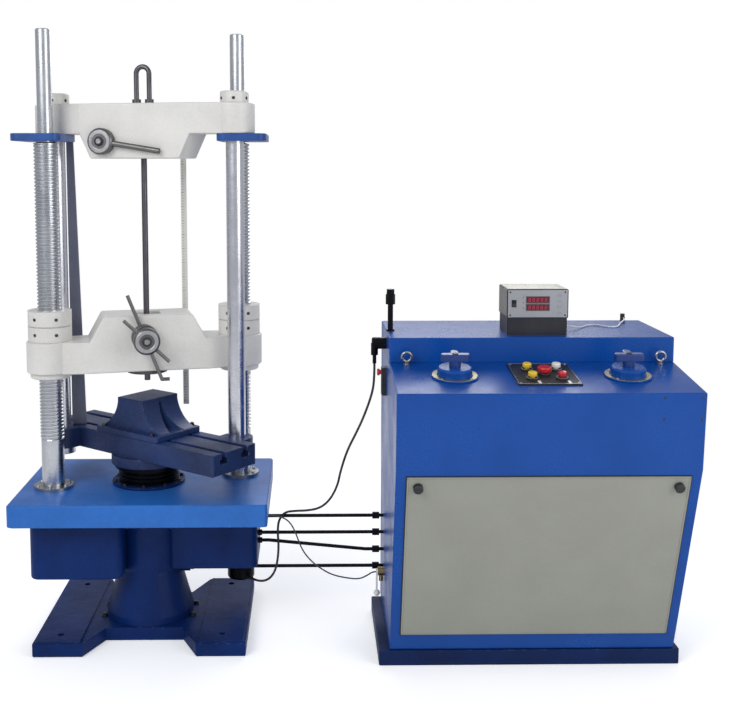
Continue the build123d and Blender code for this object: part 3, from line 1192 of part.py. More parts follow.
def signal_route():
    """From the pressure transducer down, over the top pipe and in to the drive motor."""
    gland = (TRANSDUCER_GLAND_X, FITTING_Y, TRANSDUCER_GLAND_END)
    run = WING_SIDE + CABLE_OFF_WING - TRANSDUCER_GLAND_X
    fall = PIPE_HEIGHTS[0] + CABLE_OVER_PIPE - TRANSDUCER_GLAND_END
    shares = [
        (0, 0, 0), (0, 0, 0.104), (0.041, 8, 0.228), (0.27, 22, 0.422), (0.492, 31, 0.562), (0.746, 42, 0.709),
        (0.934, 57, 0.892), (1, 67, 1)]
    drop = shifted(gland, [(across * run, y, down * fall) for across, y, down in shares])
    over_pipe = (WING_SIDE, PIPE_Y, PIPE_HEIGHTS[0])
    across = shifted(over_pipe, [
        (253, -18, 62), (219, -6, 29), (177, 0, 18), (132, 0, 17), (94, -6, 15), (73, -20, -9), (69, -23, -50),
        (73, -24, -100), (69, -23, -154), (58, -21, -199)])
    approach = shifted(MOTOR_GLAND_END, [(59, -45, 9), (0, 0, 0), (0, 0, 0)])
    approach[1] += GLAND_WAY * 36
    return drop + across + approach


def motor_route():
    """From the drive housing down in front of the pipes to the foot of the console."""
    start = (WING_SIDE + CABLE_GLAND_LENGTH, PIPE_Y - 32, PIPE_HEIGHTS[0] + 12)
    fall = shifted(start, [
        (0, 0, 0), (29, 0, 0), (60, -4, -3), (88, -8, -17), (107, -9, -46), (121, -10, -84), (137, -11, -124),
        (164, -11, -159), (199, -11, -188), (240, -10, -212)])
    end = (CABINET_LEFT - CABLE_GLAND_LENGTH, PIPE_Y - 32, PIPE_HEIGHTS[3] - 11)
    rise = shifted(end, [(-109, -9, -19), (-65, -7, -24), (-36, -4, -16), (-18, 0, 0), (0, 0, 0)])
    rise[2] += Vector(0, 2, 4)
    return fall + rise


def lead_route():
    """From the indicator's base over the top of the raised box to its elbow."""
    top = BOX_TOP + LEAD_RADIUS + LOOSE_FIT
    base_right = INDICATOR_LEFT + INDICATOR_WIDTH - INDICATOR_BASE_INSET
    start = (base_right + CABLE_GLAND_LENGTH, INDICATOR_FRONT + INDICATOR_DEPTH - 45, top)
    out = shifted(start, [
        (0, 0, 10), (20, 0, 10), (41, 15, 4), (72, 53, 0), (96, 88, 0), (119, 99, 0), (140, 80, 0), (154, 56, 0),
        (174, 46, 0), (193, 57, 0)])
    end = (CABINET_LEFT + CABINET_WIDTH - 66, CABINET_BACK - 36, top)
    home = shifted(end, [(-42, -96, 0), (-33, -68, 0), (-17, -40, 2), (0, -18, 9), (0, 0, 9)])
    return out + home


SIGNAL_ROUTE = signal_route()
MOTOR_ROUTE = motor_route()
LEAD_ROUTE = lead_route()


def cable(name, route, radius):
    """A round cable along straight runs and arcs as large as the runs allow."""
    points = route
    radii = []
    for before, corner, after in zip(points, points[1:], points[2:]):
        turn = (corner - before).get_angle(after - corner)
        shorter = min((corner - before).length, (after - corner).length)
        radii.append(ARC_SHARE * shorter / tan(radians(turn / 2)))
    path = FilletPolyline(*points, radius=radii)
    section = Plane(origin=points[0], z_dir=points[1] - points[0]) * Circle(radius)
    body = sweep(section, path=path)
    print(f"{name}: length {path.length:.0f}, tightest radius {min(radii):.0f}, "
          f"volume over section times length {body.volume / (pi * radius ** 2 * path.length):.4f}")
    return body


def cable_glands():
    first = MOTOR_ROUTE[0]
    wing = rod((WING_SIDE, first.Y, first.Z), tuple(first), CABLE_GLAND_RADIUS)
    last = MOTOR_ROUTE[-1]
    cabinet = rod((CABINET_LEFT, last.Y, last.Z), tuple(last), CABLE_GLAND_RADIUS)
    start = LEAD_ROUTE[0]
    base_right = INDICATOR_LEFT + INDICATOR_WIDTH - INDICATOR_BASE_INSET
    indicator = rod((base_right, start.Y, start.Z), tuple(start), CABLE_GLAND_RADIUS - 2)
    end = LEAD_ROUTE[-1]
    stand = (end.X, end.Y + 14)
    elbow = post(CABLE_GLAND_RADIUS, BOX_TOP, end.Z + CABLE_GLAND_RADIUS + 6, stand)
    elbow += rod((end.X, end.Y + 14, end.Z), tuple(end), CABLE_GLAND_RADIUS - 2)
    motor = rod(tuple(MOTOR_CENTRE), tuple(MOTOR_GLAND_END), CABLE_GLAND_RADIUS)
    motor -= UNIT * post(MOTOR_RADIUS, 0, TABLE_TOP, REAR_SCREW)
    return group([wing, cabinet, indicator, elbow, motor])


BUTTONS = button_places()
PARTS = {
    "base_casting": base_casting(),
    "ram_cylinder": ram_cylinder(),
    "table_plate": table_plate(),
    "drive_housing": drive_housing(),
    "screw_bearings": screw_bearings(),
    "drive_motor": drive_motor(),
    "drive_chain": drive_chain(),
    "front_screw": screw(FRONT_SCREW),
    "rear_screw": screw(REAR_SCREW),
    "ram": ram(),
    "lower_table": lower_table(),
    "straight_columns": straight_columns(),
    "upper_crosshead": upper_crosshead(),
    "column_collars": column_collars(),
    "lifting_loop": lifting_loop(),
    "tie_plates": tie_plates(),
    "scale_strip": scale_strip(),
    "guard_plate": guard_plate(),
    "bending_block": bending_block(),
    "test_bar": test_bar(),
    "lower_crosshead": lower_crosshead(),
    "screw_nuts": screw_nuts(),
    "platen": platen(),
    "upper_jaw_left": upper_jaw(-1),
    "upper_jaw_right": upper_jaw(1),
    "lower_jaw_left": lower_jaw(-1),
    "lower_jaw_right": lower_jaw(1),
    "upper_jaw_handle": upper_jaw_handle(),
    "lower_jaw_handle": lower_jaw_handle(),
    "console_cabinet": console_cabinet(),
    "console_plinth": console_plinth(),
    "service_panel": service_panel(),
    "panel_knob_left": panel_knob(-1),
    "panel_knob_right": panel_knob(1),
    "raised_box": raised_box(),
    "valve_bodies": valve_bodies(),
    "valve_knob_left": valve_knob(-1),
    "valve_knob_right": valve_knob(1),
    "button_plate": button_plate(),
    "pump_start_button": push_button(BUTTONS[0], BUTTON_RADIUS, BUTTON_SHOWN),
    "pump_stop_button": push_button(BUTTONS[1], BUTTON_RADIUS, BUTTON_SHOWN),
    "emergency_button": push_button(BUTTONS[2], MUSHROOM_RADIUS, MUSHROOM_HEIGHT),
    "crosshead_up_button": push_button(BUTTONS[3], BUTTON_RADIUS, BUTTON_SHOWN),
    "crosshead_down_button": push_button(BUTTONS[4], BUTTON_RADIUS, BUTTON_SHOWN),
    "eyebolts": eyebolts(),
    "indicator_case": indicator_case(),
    "indicator_face": indicator_face(),
    "rocker_switch": rocker_switch(),
    "pressure_fittings": pressure_fittings(),
    "side_switch_box": side_switch_box(),
    "side_button": side_button(),
    "drain_cock": drain_cock(),
    "cock_lever": cock_lever(),
    "hydraulic_pipes": hydraulic_pipes(),
    "power_pack": power_pack(),
    "cable_glands": cable_glands(),
    "signal_cable": cable("signal_cable", SIGNAL_ROUTE, SIGNAL_CABLE_RADIUS),
    "motor_cable": cable("motor_cable", MOTOR_ROUTE, LEAD_RADIUS),
    "indicator_lead": cable("indicator_lead", LEAD_ROUTE, LEAD_RADIUS),
}

os.makedirs("parts", exist_ok=True)
for node, shape in PARTS.items():
    export_step(shape, f"parts/{node}.step")
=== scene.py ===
"""Dresses a universal testing machine: a hydraulic loading unit and its sloped control console.

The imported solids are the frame. This script gives them their paints and metals, rounds the edges of
the castings and sheet parts, cuts the threads of the two lead screws, adds the fasteners, the scale
marks, the display and the button tags, lays the three cables, and sets a plain studio with the camera
at the photograph's viewing angle. Lengths are in millimetres where nothing else is said, and node
trees and meshes work in metres.
"""

from __future__ import annotations

import logging
import math
from dataclasses import dataclass
from enum import Enum
from itertools import product
from typing import Callable, ClassVar, Dict, Iterable, List, Mapping, Optional, Sequence, Tuple

import bmesh
import bpy
from bmesh.types import BMEdge, BMesh, BMFace
from bpy.types import ID, Material, Mesh, Node, NodeSocket, NodeTree, Object
from mathutils import Matrix, Vector
from mathutils.geometry import area_tri, intersect_point_line

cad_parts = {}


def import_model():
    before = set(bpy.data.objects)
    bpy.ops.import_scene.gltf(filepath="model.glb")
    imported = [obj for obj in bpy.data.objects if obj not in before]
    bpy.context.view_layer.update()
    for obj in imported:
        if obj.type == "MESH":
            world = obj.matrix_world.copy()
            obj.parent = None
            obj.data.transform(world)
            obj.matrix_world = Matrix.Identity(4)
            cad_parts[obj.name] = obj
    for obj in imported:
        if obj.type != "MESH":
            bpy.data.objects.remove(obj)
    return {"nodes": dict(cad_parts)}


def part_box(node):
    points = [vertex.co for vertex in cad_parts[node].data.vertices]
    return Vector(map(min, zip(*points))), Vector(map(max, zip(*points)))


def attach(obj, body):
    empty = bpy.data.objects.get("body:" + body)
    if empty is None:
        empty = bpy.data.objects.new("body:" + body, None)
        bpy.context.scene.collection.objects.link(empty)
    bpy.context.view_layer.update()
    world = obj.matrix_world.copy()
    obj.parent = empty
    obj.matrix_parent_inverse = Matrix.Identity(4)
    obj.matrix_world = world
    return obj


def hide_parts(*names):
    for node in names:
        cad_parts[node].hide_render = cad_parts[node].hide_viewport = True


LOG = logging.getLogger("testing_machine")
MM = 0.001
SHARP_ANGLE = math.radians(28.0)
SIDES = (-1, 1)
# Corners closer than this are one corner, in metres.
WELD = 1e-6
# How many sides a screw head has.
HEXAGON, ROUND = 6, 16
# A head's crown as shares of its radius and its height, and its washer as a share of its height.
CROWN_TOP, CROWN_BASE, CROWN_HEIGHT, WASHER_HEIGHT = 0.62, 0.86, 0.28, 0.24
# Where a thread's flank starts and ends from the middle of its groove, in pitches.
FLANK = (0.16, 0.3)
# A thread's corners that lie past its end by more than this are cut down to the root, in metres.
CUT_OFF = 1e-5

Pair = Tuple[float, float]
Point = Tuple[float, float, float]
Colour = Tuple[float, float, float]
Block = Tuple[Matrix, Point]
Head = Tuple[Point, Point]
Sockets = Mapping[str, NodeSocket]


def tint(*display: int) -> Colour:
    """A linear colour from its display values."""
    shares = [value / 255 for value in display]
    return tuple(share / 12.92 if share <= 0.04045 else ((share + 0.055) / 1.055) ** 2.4 for share in shares)


def linked(name: str, data: ID) -> Object:
    """A new object in the scene.

    Args:
        name: Its name.
        data: Its mesh, curve, lamp or camera.

    Returns:
        The object.
    """
    thing = bpy.data.objects.new(name, data)
    bpy.context.scene.collection.objects.link(thing)
    return thing


class Body(str, Enum):
    """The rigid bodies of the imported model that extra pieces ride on."""

    FRAME = "frame"
    RAM_FRAME = "ram_frame"
    CROSSHEAD = "crosshead"
    FRONT_SCREW = "front_screw"
    REAR_SCREW = "rear_screw"
    UPPER_HANDLE = "upper_jaw_handle"
    LOWER_HANDLE = "lower_jaw_handle"
    VALVE_LEFT = "valve_knob_left"
    VALVE_RIGHT = "valve_knob_right"


class Graph:
    """A small wrapper round a node tree: it adds nodes, sets their inputs and links them."""

    def __init__(self, tree: NodeTree) -> None:
        """Keeps the tree."""
        self.tree = tree

    def feed(self, node: Node, inputs: Dict[object, object]) -> None:
        """Sets inputs of a node.

        Args:
            node: The node.
            inputs: A plain value, or an output socket to link, by the input's name or index.
        """
        for key, value in inputs.items():
            if isinstance(value, NodeSocket):
                self.tree.links.new(value, node.inputs[key])
            else:
                node.inputs[key].default_value = value

    def add(self, kind: str, inputs: Optional[Dict[object, object]] = None, **settings: object) -> Node:
        """Adds a node.

        Args:
            kind: The node's type name.
            inputs: Values or output sockets for its inputs, by name or index.
            **settings: Properties of the node itself.

        Returns:
            The node.
        """
        node = self.tree.nodes.new(kind)
        for name, value in settings.items():
            setattr(node, name, value)
        self.feed(node, inputs or {})
        return node

    def maths(self, operation: str, *values: object) -> NodeSocket:
        """The result of a Math node."""
        return self.add("ShaderNodeMath", dict(enumerate(values)), operation=operation).outputs[0]

    def xyz(self, x: object, y: object, z: object) -> NodeSocket:
        """A vector."""
        return self.add("ShaderNodeCombineXYZ", {0: x, 1: y, 2: z}).outputs[0]

    def noise(self, place: NodeSocket, scale: object, detail: float = 2.0, rough: float = 0.5) -> NodeSocket:
        """A cloudy value about a half."""
        inputs = {"Vector": place, "Scale": scale, "Detail": detail, "Roughness": rough}
        return self.add("ShaderNodeTexNoise", inputs).outputs["Fac"]

    def blend(self, factor: object, first: object, second: object) -> NodeSocket:
        """A mix of two colours."""
        return self.add("ShaderNodeMix", {"Factor": factor, 6: first, 7: second}, data_type="RGBA").outputs[2]

    def ramp(self, factor: object, low: float, high: float, kind: str = "SMOOTHSTEP") -> NodeSocket:
        """A step from 0 to 1."""
        inputs = {"Value": factor, "From Min": low, "From Max": high}
        return self.add("ShaderNodeMapRange", inputs, interpolation_type=kind).outputs[0]

    def soft(self, radius: float) -> NodeSocket:
        """Normals that turn gently over sharp edges."""
        return self.add("ShaderNodeBevel", {"Radius": radius * MM}, samples=4).outputs[0]

    def bump(self, height: NodeSocket, normal: Optional[NodeSocket] = None) -> NodeSocket:
        """Normals that follow a height.

        Args:
            height: The height, in metres.
            normal: The normals to start from, if not the mesh's own.

        Returns:
            The normal's socket.
        """
        node = self.add("ShaderNodeBump", {"Strength": 1.0, "Distance": 1.0, "Height": height})
        if normal is not None:
            self.feed(node, {"Normal": normal})
        return node.outputs[0]

    def use(self, group: NodeGroup, inputs: Dict[object, object]) -> Sockets:
        """Places a shared group in a material."""
        return self.add("ShaderNodeGroup", inputs, node_tree=group.tree()).outputs

    def repeat(self, inside: Sockets, shape: NodeSocket, **inputs: NodeSocket) -> Dict[str, NodeSocket]:
        """Copies of a shape on the carrier's points, as real geometry with a material.

        Args:
            inside: The tree's own inputs.
            shape: The shape.
            **inputs: The copies' rotation or scale.

        Returns:
            The geometry that goes out.
        """
        places = {"Points": inside["Geometry"], "Instance": shape, **inputs}
        copies = self.add("GeometryNodeInstanceOnPoints", places).outputs[0]
        real = self.add("GeometryNodeRealizeInstances", {0: copies}).outputs[0]
        paint = {"Geometry": real, "Material": inside["Material"]}
        return {"Geometry": self.add("GeometryNodeSetMaterial", paint).outputs[0]}


@dataclass
class NodeGroup:
    """A shader group or a Geometry Nodes tree, built on its first use and shared after that.

    Attributes:
        name: Its name.
        kind: The type of its tree.
        inputs: Each input's default, or its socket type where it has none.
        outputs: Each output's socket type.
        write: Fills the tree, and gives the socket that goes to each output.
    """

    name: str
    kind: str
    inputs: Dict[str, object]
    outputs: Dict[str, object]
    write: Callable[[Graph, Sockets], Dict[str, NodeSocket]]

    made: ClassVar[Dict[str, NodeTree]] = {}

    @staticmethod
    def socket_type(default: object) -> str:
        """The socket type that a default asks for.

        Args:
            default: A default value, or the type's short name.

        Returns:
            The type's full name.
        """
        if isinstance(default, tuple):
            default = "Color" if len(default) == 4 else "Vector"
        elif not isinstance(default, str):
            default = "Int" if isinstance(default, int) else "Float"
        return "NodeSocket" + default

    def tree(self) -> NodeTree:
        """The group's tree.

        Returns:
            The tree, with its named sockets.
        """
        if self.name not in NodeGroup.made:
            tree = bpy.data.node_groups.new(self.name, self.kind)
            for side, sockets in (("INPUT", self.inputs), ("OUTPUT", self.outputs)):
                for label, default in sockets.items():
                    kind = self.socket_type(default)
                    socket = tree.interface.new_socket(label, in_out=side, socket_type=kind)
                    if not isinstance(default, str):
                        socket.default_value = default
            graph = Graph(tree)
            graph.add("NodeGroupOutput", self.write(graph, graph.add("NodeGroupInput").outputs))
            NodeGroup.made[self.name] = tree
        return NodeGroup.made[self.name]

    def realise(self, name: str, points: Sequence[Head], values: Dict[str, object]) -> Mesh:
        """Runs a Geometry Nodes tree on a set of points and keeps the plain mesh.

        Args:
            name: The mesh's name.
            points: Each point, in the row frame in metres, and where its copy faces.
            values: The tree's named inputs.

        Returns:
            The mesh.
        """
        seed = bpy.data.meshes.new(name + "_points")
        seed.from_pydata([point for point, _ in points], [], [])
        attribute = seed.attributes.new("facing", "FLOAT_VECTOR", "POINT")
        for item, (_, facing) in zip(attribute.data, points):
            item.vector = facing
        carrier = linked(name + "_carrier", seed)
        modifier = carrier.modifiers.new("form", "NODES")
        modifier.node_group = self.tree()
        for item in self.tree().interface.items_tree:
            if item.item_type == "SOCKET" and item.in_out == "INPUT" and item.name in values:
                modifier[item.identifier] = values[item.name]
        bpy.context.view_layer.update()
        depsgraph = bpy.context.evaluated_depsgraph_get()
        mesh = bpy.data.meshes.new_from_object(carrier.evaluated_get(depsgraph))
        mesh.name = name
        if "facing" in mesh.attributes:
            mesh.attributes.remove(mesh.attributes["facing"])
        carrier.modifiers.remove(modifier)
        bpy.data.objects.remove(carrier)
        bpy.data.meshes.remove(seed)
        return mesh


def shader_group(inputs: Dict[str, object], outputs: Dict[str, object]) -> Callable[[Callable], NodeGroup]:
    """Makes a shader group of the function that writes it."""
    return lambda write: NodeGroup(write.__name__, "ShaderNodeTree", inputs, outputs, write)


def geometry_form(inputs: Dict[str, object]) -> Callable[[Callable], NodeGroup]:
    """Makes a Geometry Nodes tree of the function that writes it.

    Args:
        inputs: Each named input's default.

    Returns:
        The decorator.
    """
    sockets = {"Geometry": "Geometry", **inputs, "Material": "Material"}
    result = {"Geometry": "Geometry"}
    return lambda write: NodeGroup(write.__name__, "GeometryNodeTree", sockets, result, write)


@shader_group({"Place": "Vector", "Colour": (0.5, 0.5, 0.5, 1), "Shade": (0.3, 0.3, 0.3, 1),
               "Broad Scale": 6.0, "Fine Scale": 120.0, "Amount": 0.5, "Roughness": 0.4},
              {"Colour": "Color", "Roughness": "Float"})
def uneven_paint(graph: Graph, inside: Sockets) -> Dict[str, NodeSocket]:
    """Broad clouds and fine specks of a second tone, and a roughness that follows them.

    Args:
        graph: The group's graph.
        inside: The group's inputs.

    Returns:
        What goes to its outputs.
    """
    cloud = graph.ramp(graph.noise(inside["Place"], inside["Broad Scale"], 5.0, 0.6), 0.32, 0.7)
    speck = graph.ramp(graph.noise(inside["Place"], inside["Fine Scale"], 3.0), 0.3, 0.75)
    share = graph.maths("MULTIPLY_ADD", cloud, 0.7, graph.maths("MULTIPLY", speck, 0.3))
    amount = graph.maths("MULTIPLY", share, inside["Amount"])
    lift = graph.maths("MULTIPLY", graph.maths("SUBTRACT", share, 0.5), 0.22)
    return {"Colour": graph.blend(amount, inside["Colour"], inside["Shade"]),
            "Roughness": graph.maths("ADD", inside["Roughness"], lift)}


@shader_group({"Place": "Vector", "Lump Scale": 22.0, "Peel Scale": 350.0, "Lumps": 1.0, "Peel": 0.15},
              {"Height": "Float"})
def casting_skin(graph: Graph, inside: Sockets) -> Dict[str, NodeSocket]:
    """A lumpy casting or orange-peel paint surface, as a height.

    Args:
        graph: The group's graph.
        inside: The group's inputs.

    Returns:
        What goes to its outputs.
    """
    lumps = graph.noise(inside["Place"], inside["Lump Scale"], 4.0, 0.55)
    peel = graph.noise(inside["Place"], inside["Peel Scale"])
    low = graph.maths("MULTIPLY", lumps, inside["Lumps"])
    return {"Height": graph.maths("ADD", low, graph.maths("MULTIPLY", peel, inside["Peel"]))}


@shader_group({"Place": "Vector", "Soft Normal": "Vector", "Chip Scale": 60.0, "Mark Scale": 7.0,
               "Edges": 0.5, "Marks": 0.3}, {"Mask": "Float"})
def edge_wear(graph: Graph, inside: Sockets) -> Dict[str, NodeSocket]:
    """Chips and scratches as a mask: speckle on edges, and a few thin marks on the flats.

    Args:
        graph: The group's graph.
        inside: The group's inputs.

    Returns:
        What goes to its outputs.
    """
    plain = graph.add("ShaderNodeNewGeometry").outputs["Normal"]
    alike = graph.add("ShaderNodeVectorMath", {0: inside["Soft Normal"], 1: plain}, operation="DOT_PRODUCT")
    edge = graph.ramp(alike.outputs["Value"], 0.985, 0.9)
    chips = graph.noise(inside["Place"], inside["Chip Scale"], 6.0, 0.7)
    cells = {"Vector": inside["Place"], "Scale": inside["Mark Scale"]}
    marks = graph.add("ShaderNodeTexVoronoi", cells, feature="DISTANCE_TO_EDGE").outputs["Distance"]
    flat = graph.maths("MULTIPLY", graph.ramp(marks, 0.008, 0.001), graph.ramp(chips, 0.62, 0.7))
    broken = graph.maths("MULTIPLY", edge, graph.ramp(chips, 0.54, 0.64))
    worn = graph.maths("MULTIPLY", broken, inside["Edges"])
    total = graph.maths("ADD", worn, graph.maths("MULTIPLY", flat, inside["Marks"]))
    return {"Mask": graph.add("ShaderNodeClamp", {"Value": total}).outputs[0]}


@shader_group({"Place": "Vector", "Stretch": (30.0, 30.0, 1200.0)}, {"Value": "Float"})
def machining_lines(graph: Graph, inside: Sockets) -> Dict[str, NodeSocket]:
    """Fine machining lines across one axis, as a value about a half.

    Args:
        graph: The group's graph.
        inside: The group's inputs.

    Returns:
        What goes to its outputs.
    """
    sizes = {0: inside["Place"], 1: inside["Stretch"]}
    stretched = graph.add("ShaderNodeVectorMath", sizes, operation="MULTIPLY").outputs[0]
    return {"Value": graph.noise(stretched, 1.0, 4.0, 0.65)}


@geometry_form({"Head Radius": 0.008, "Head Height": 0.005, "Sides": 6, "Washer": 1.3})
def fastener_heads(graph: Graph, inside: Sockets) -> Dict[str, NodeSocket]:
    """Screw heads on points: a round or hexagonal head on a washer, with a chamfered crown.

    Args:
        graph: The group's graph.
        inside: The group's inputs.

    Returns:
        What goes to its outputs.
    """
    radius, height = inside["Head Radius"], inside["Head Height"]
    join = graph.add("GeometryNodeJoinGeometry")

    def raised(kind: str, sides: object, lift: NodeSocket, **sizes: NodeSocket) -> None:
        """Adds one round part at a height.

        Args:
            kind: The primitive's node.
            sides: How many sides it has.
            lift: The height of its middle.
            **sizes: Its radii and its depth.
        """
        labels = {label.replace("_", " "): size for label, size in sizes.items()}
        part = graph.add(kind, {"Vertices": sides, **labels}).outputs["Mesh"]
        up = {"Geometry": part, "Translation": graph.xyz(0.0, 0.0, lift)}
        graph.tree.links.new(graph.add("GeometryNodeTransform", up).outputs[0], join.inputs[0])

    half = graph.maths("MULTIPLY", height, 0.5)
    raised("GeometryNodeMeshCylinder", inside["Sides"], half, Radius=radius, Depth=height)
    crown_top, crown_base = (graph.maths("MULTIPLY", radius, share) for share in (CROWN_TOP, CROWN_BASE))
    raised("GeometryNodeMeshCone", 16, height, Radius_Top=crown_top, Radius_Bottom=crown_base,
           Depth=graph.maths("MULTIPLY", height, CROWN_HEIGHT))
    thickness = graph.maths("MULTIPLY", height, WASHER_HEIGHT)
    raised("GeometryNodeMeshCylinder", 20, graph.maths("MULTIPLY", thickness, 0.5),
           Radius=graph.maths("MULTIPLY", radius, inside["Washer"]), Depth=thickness)
    facing = graph.add("GeometryNodeInputNamedAttribute", {"Name": "facing"}, data_type="FLOAT_VECTOR")
    upward = {"Vector": facing.outputs[0]}
    turn = graph.add("FunctionNodeAlignRotationToVector", upward, axis="Z").outputs[0]
    return graph.repeat(inside, join.outputs[0], Rotation=turn)


@geometry_form({"Mark Length": 0.005, "Mark Depth": 0.0006, "Mark Width": 0.001})
def scale_marks(graph: Graph, inside: Sockets) -> Dict[str, NodeSocket]:
    """Scale marks: a row of thin plates, each fifth one longer.

    Args:
        graph: The group's graph.
        inside: The group's inputs.

    Returns:
        What goes to its outputs.
    """
    index = graph.add("GeometryNodeInputIndex").outputs[0]
    fifth = graph.maths("LESS_THAN", graph.maths("MODULO", index, 5.0), 0.5)
    size = graph.xyz(inside["Mark Length"], inside["Mark Depth"], inside["Mark Width"])
    mark = graph.add("GeometryNodeMeshCube", {"Size": size}).outputs["Mesh"]
    return graph.repeat(inside, mark, Scale=graph.xyz(graph.maths("MULTIPLY_ADD", fifth, 0.9, 1.0), 1.0, 1.0))


@geometry_form({"Radius": 0.04, "Length": 1.0, "Pitch": 0.012, "Depth": 0.004, "Around": 33, "Along": 900})
def helical_thread(graph: Graph, inside: Sockets) -> Dict[str, NodeSocket]:
    """A helical thread: a grid wound round the axis, whose rows climb by one pitch a turn.

    Args:
        graph: The group's graph.
        inside: The group's inputs.

    Returns:
        What goes to its outputs.
    """
    counts = {"Size X": 1.0, "Size Y": 1.0, "Vertices X": inside["Around"], "Vertices Y": inside["Along"]}
    grid = graph.add("GeometryNodeMeshGrid", counts).outputs["Mesh"]
    apart = graph.add("ShaderNodeSeparateXYZ", {0: graph.add("GeometryNodeInputPosition").outputs[0]}).outputs
    round_share, up_share = (graph.maths("ADD", apart[axis], 0.5) for axis in (0, 1))
    pitch, length = inside["Pitch"], inside["Length"]
    along = graph.maths("MULTIPLY", up_share, graph.maths("ADD", length, pitch))
    climb = graph.maths("MULTIPLY", graph.maths("SUBTRACT", round_share, 1.0), pitch)
    free = graph.maths("ADD", along, climb)
    height = graph.maths("MAXIMUM", graph.maths("MINIMUM", free, length), 0.0)
    off_end = graph.maths("ABSOLUTE", graph.maths("SUBTRACT", free, height))
    phase = graph.maths("FRACT", graph.maths("DIVIDE", along, pitch))
    fold = graph.maths("ABSOLUTE", graph.maths("SUBTRACT", phase, 0.5))
    flank = graph.ramp(fold, *FLANK, "LINEAR")
    crest = graph.maths("MULTIPLY", flank, graph.maths("LESS_THAN", off_end, CUT_OFF))
    cut = graph.maths("MULTIPLY", graph.maths("SUBTRACT", 1.0, crest), inside["Depth"])
    radius = graph.maths("SUBTRACT", inside["Radius"], cut)
    angle = graph.maths("MULTIPLY", round_share, 2 * math.pi)
    x, y = (graph.maths("MULTIPLY", radius, graph.maths(wave, angle)) for wave in ("COSINE", "SINE"))
    wound = {"Geometry": grid, "Position": graph.xyz(x, y, height)}
    shaped = graph.add("GeometryNodeSetPosition", wound).outputs[0]
    closed = graph.add("GeometryNodeMergeByDistance", {"Geometry": shaped, "Distance": WELD}).outputs[0]
    return graph.repeat(inside, closed)


@dataclass(frozen=True)
class Finish:
    """A surface finish: what every one of them has.

    Attributes:
        name: The finish's plain name.
        colour: Its main colour, linear.
        roughness: How dull it is, 0 to 1.
        slot: The name of the material slot meant for it; not used.
        scales: How many broad clouds and fine specks there are in a metre.
    """

    name: str
    colour: Colour
    roughness: float
    slot: str

    scales: ClassVar[Pair] = (4.5, 140.0)
    made: ClassVar[Dict[str, Material]] = {}

    def material(self) -> Material:
        """The finish's material, built on its first use.

        Returns:
            The material.
        """
        if self.name not in Finish.made:
            material = bpy.data.materials.new(self.name)
            material.use_nodes = True
            material.node_tree.nodes.clear()
            material.diffuse_color = (*self.colour, 1)
            graph = Graph(material.node_tree)
            shader = graph.add("ShaderNodeBsdfPrincipled")
            graph.add("ShaderNodeOutputMaterial", {"Surface": shader.outputs[0]}, is_active_output=True)
            place = graph.add("ShaderNodeTexCoord").outputs["Object"]
            graph.feed(shader, self.look(graph, place))
            Finish.made[self.name] = material
        return Finish.made[self.name]

    def look(self, graph: Graph, place: NodeSocket) -> Dict[object, object]:
        """Fills the material's tree, in a way that each kind of finish has for itself."""
        raise NotImplementedError

    def clouded(self, graph: Graph, place: NodeSocket, shade: Colour, amount: float) -> Sockets:
        """The finish's colour with clouds of a second one.

        Args:
            graph: The material's graph.
            place: Object coordinates.
            shade: The second colour, linear.
            amount: How strong the clouds are.

        Returns:
            The colour and the roughness.
        """
        return graph.use(uneven_paint, {
            "Place": place, "Colour": (*self.colour, 1), "Shade": (*shade, 1), "Amount": amount,
            "Broad Scale": self.scales[0], "Fine Scale": self.scales[1], "Roughness": self.roughness})


@dataclass(frozen=True)
class Paint(Finish):
    """Enamel on a casting or on sheet steel: a clouded colour, chips on edges and a lumpy skin.

    Attributes:
        shade: The darker tone that clouds it.
        mottle: How strongly it is clouded.
        lumps: The height of the casting's lumps.
        peel: The height of the fine orange peel.
        chips: How much bare metal shows on edges.
        under: The colour under a chip.
        coat: The share of clear gloss on top.
        specular: How strongly it mirrors, where 0.5 is plain enamel.
        edge: The radius that softens its edges.
    """

    shade: Colour = (0.1, 0.1, 0.1)
    mottle: float = 0.4
    lumps: float = 0.0
    peel: float = 0.02
    chips: float = 0.4
    under: Colour = (0.25, 0.25, 0.26)
    coat: float = 0.08
    specular: float = 0.28
    edge: float = 3.0

    def look(self, graph: Graph, place: NodeSocket) -> Dict[object, object]:
        """Fills the material's tree.

        Args:
            graph: The material's graph.
            place: Object coordinates.

        Returns:
            What goes to the Principled shader's inputs.
        """
        uneven = self.clouded(graph, place, self.shade, self.mottle)
        soft = graph.soft(self.edge)
        worn = graph.use(edge_wear, {"Place": place, "Soft Normal": soft, "Chip Scale": 55.0,
                                     "Mark Scale": 6.0, "Edges": self.chips, "Marks": self.chips * 0.5})
        coat = graph.use(casting_skin, {"Place": place, "Lump Scale": 26.0, "Peel Scale": 420.0,
                                        "Lumps": self.lumps * MM, "Peel": self.peel * MM})
        return {"Base Color": graph.blend(worn["Mask"], uneven["Colour"], (*self.under, 1)),
                "Roughness": uneven["Roughness"], "Normal": graph.bump(coat["Height"], soft),
                "Coat Weight": self.coat, "Coat Roughness": 0.22, "Specular IOR Level": self.specular}


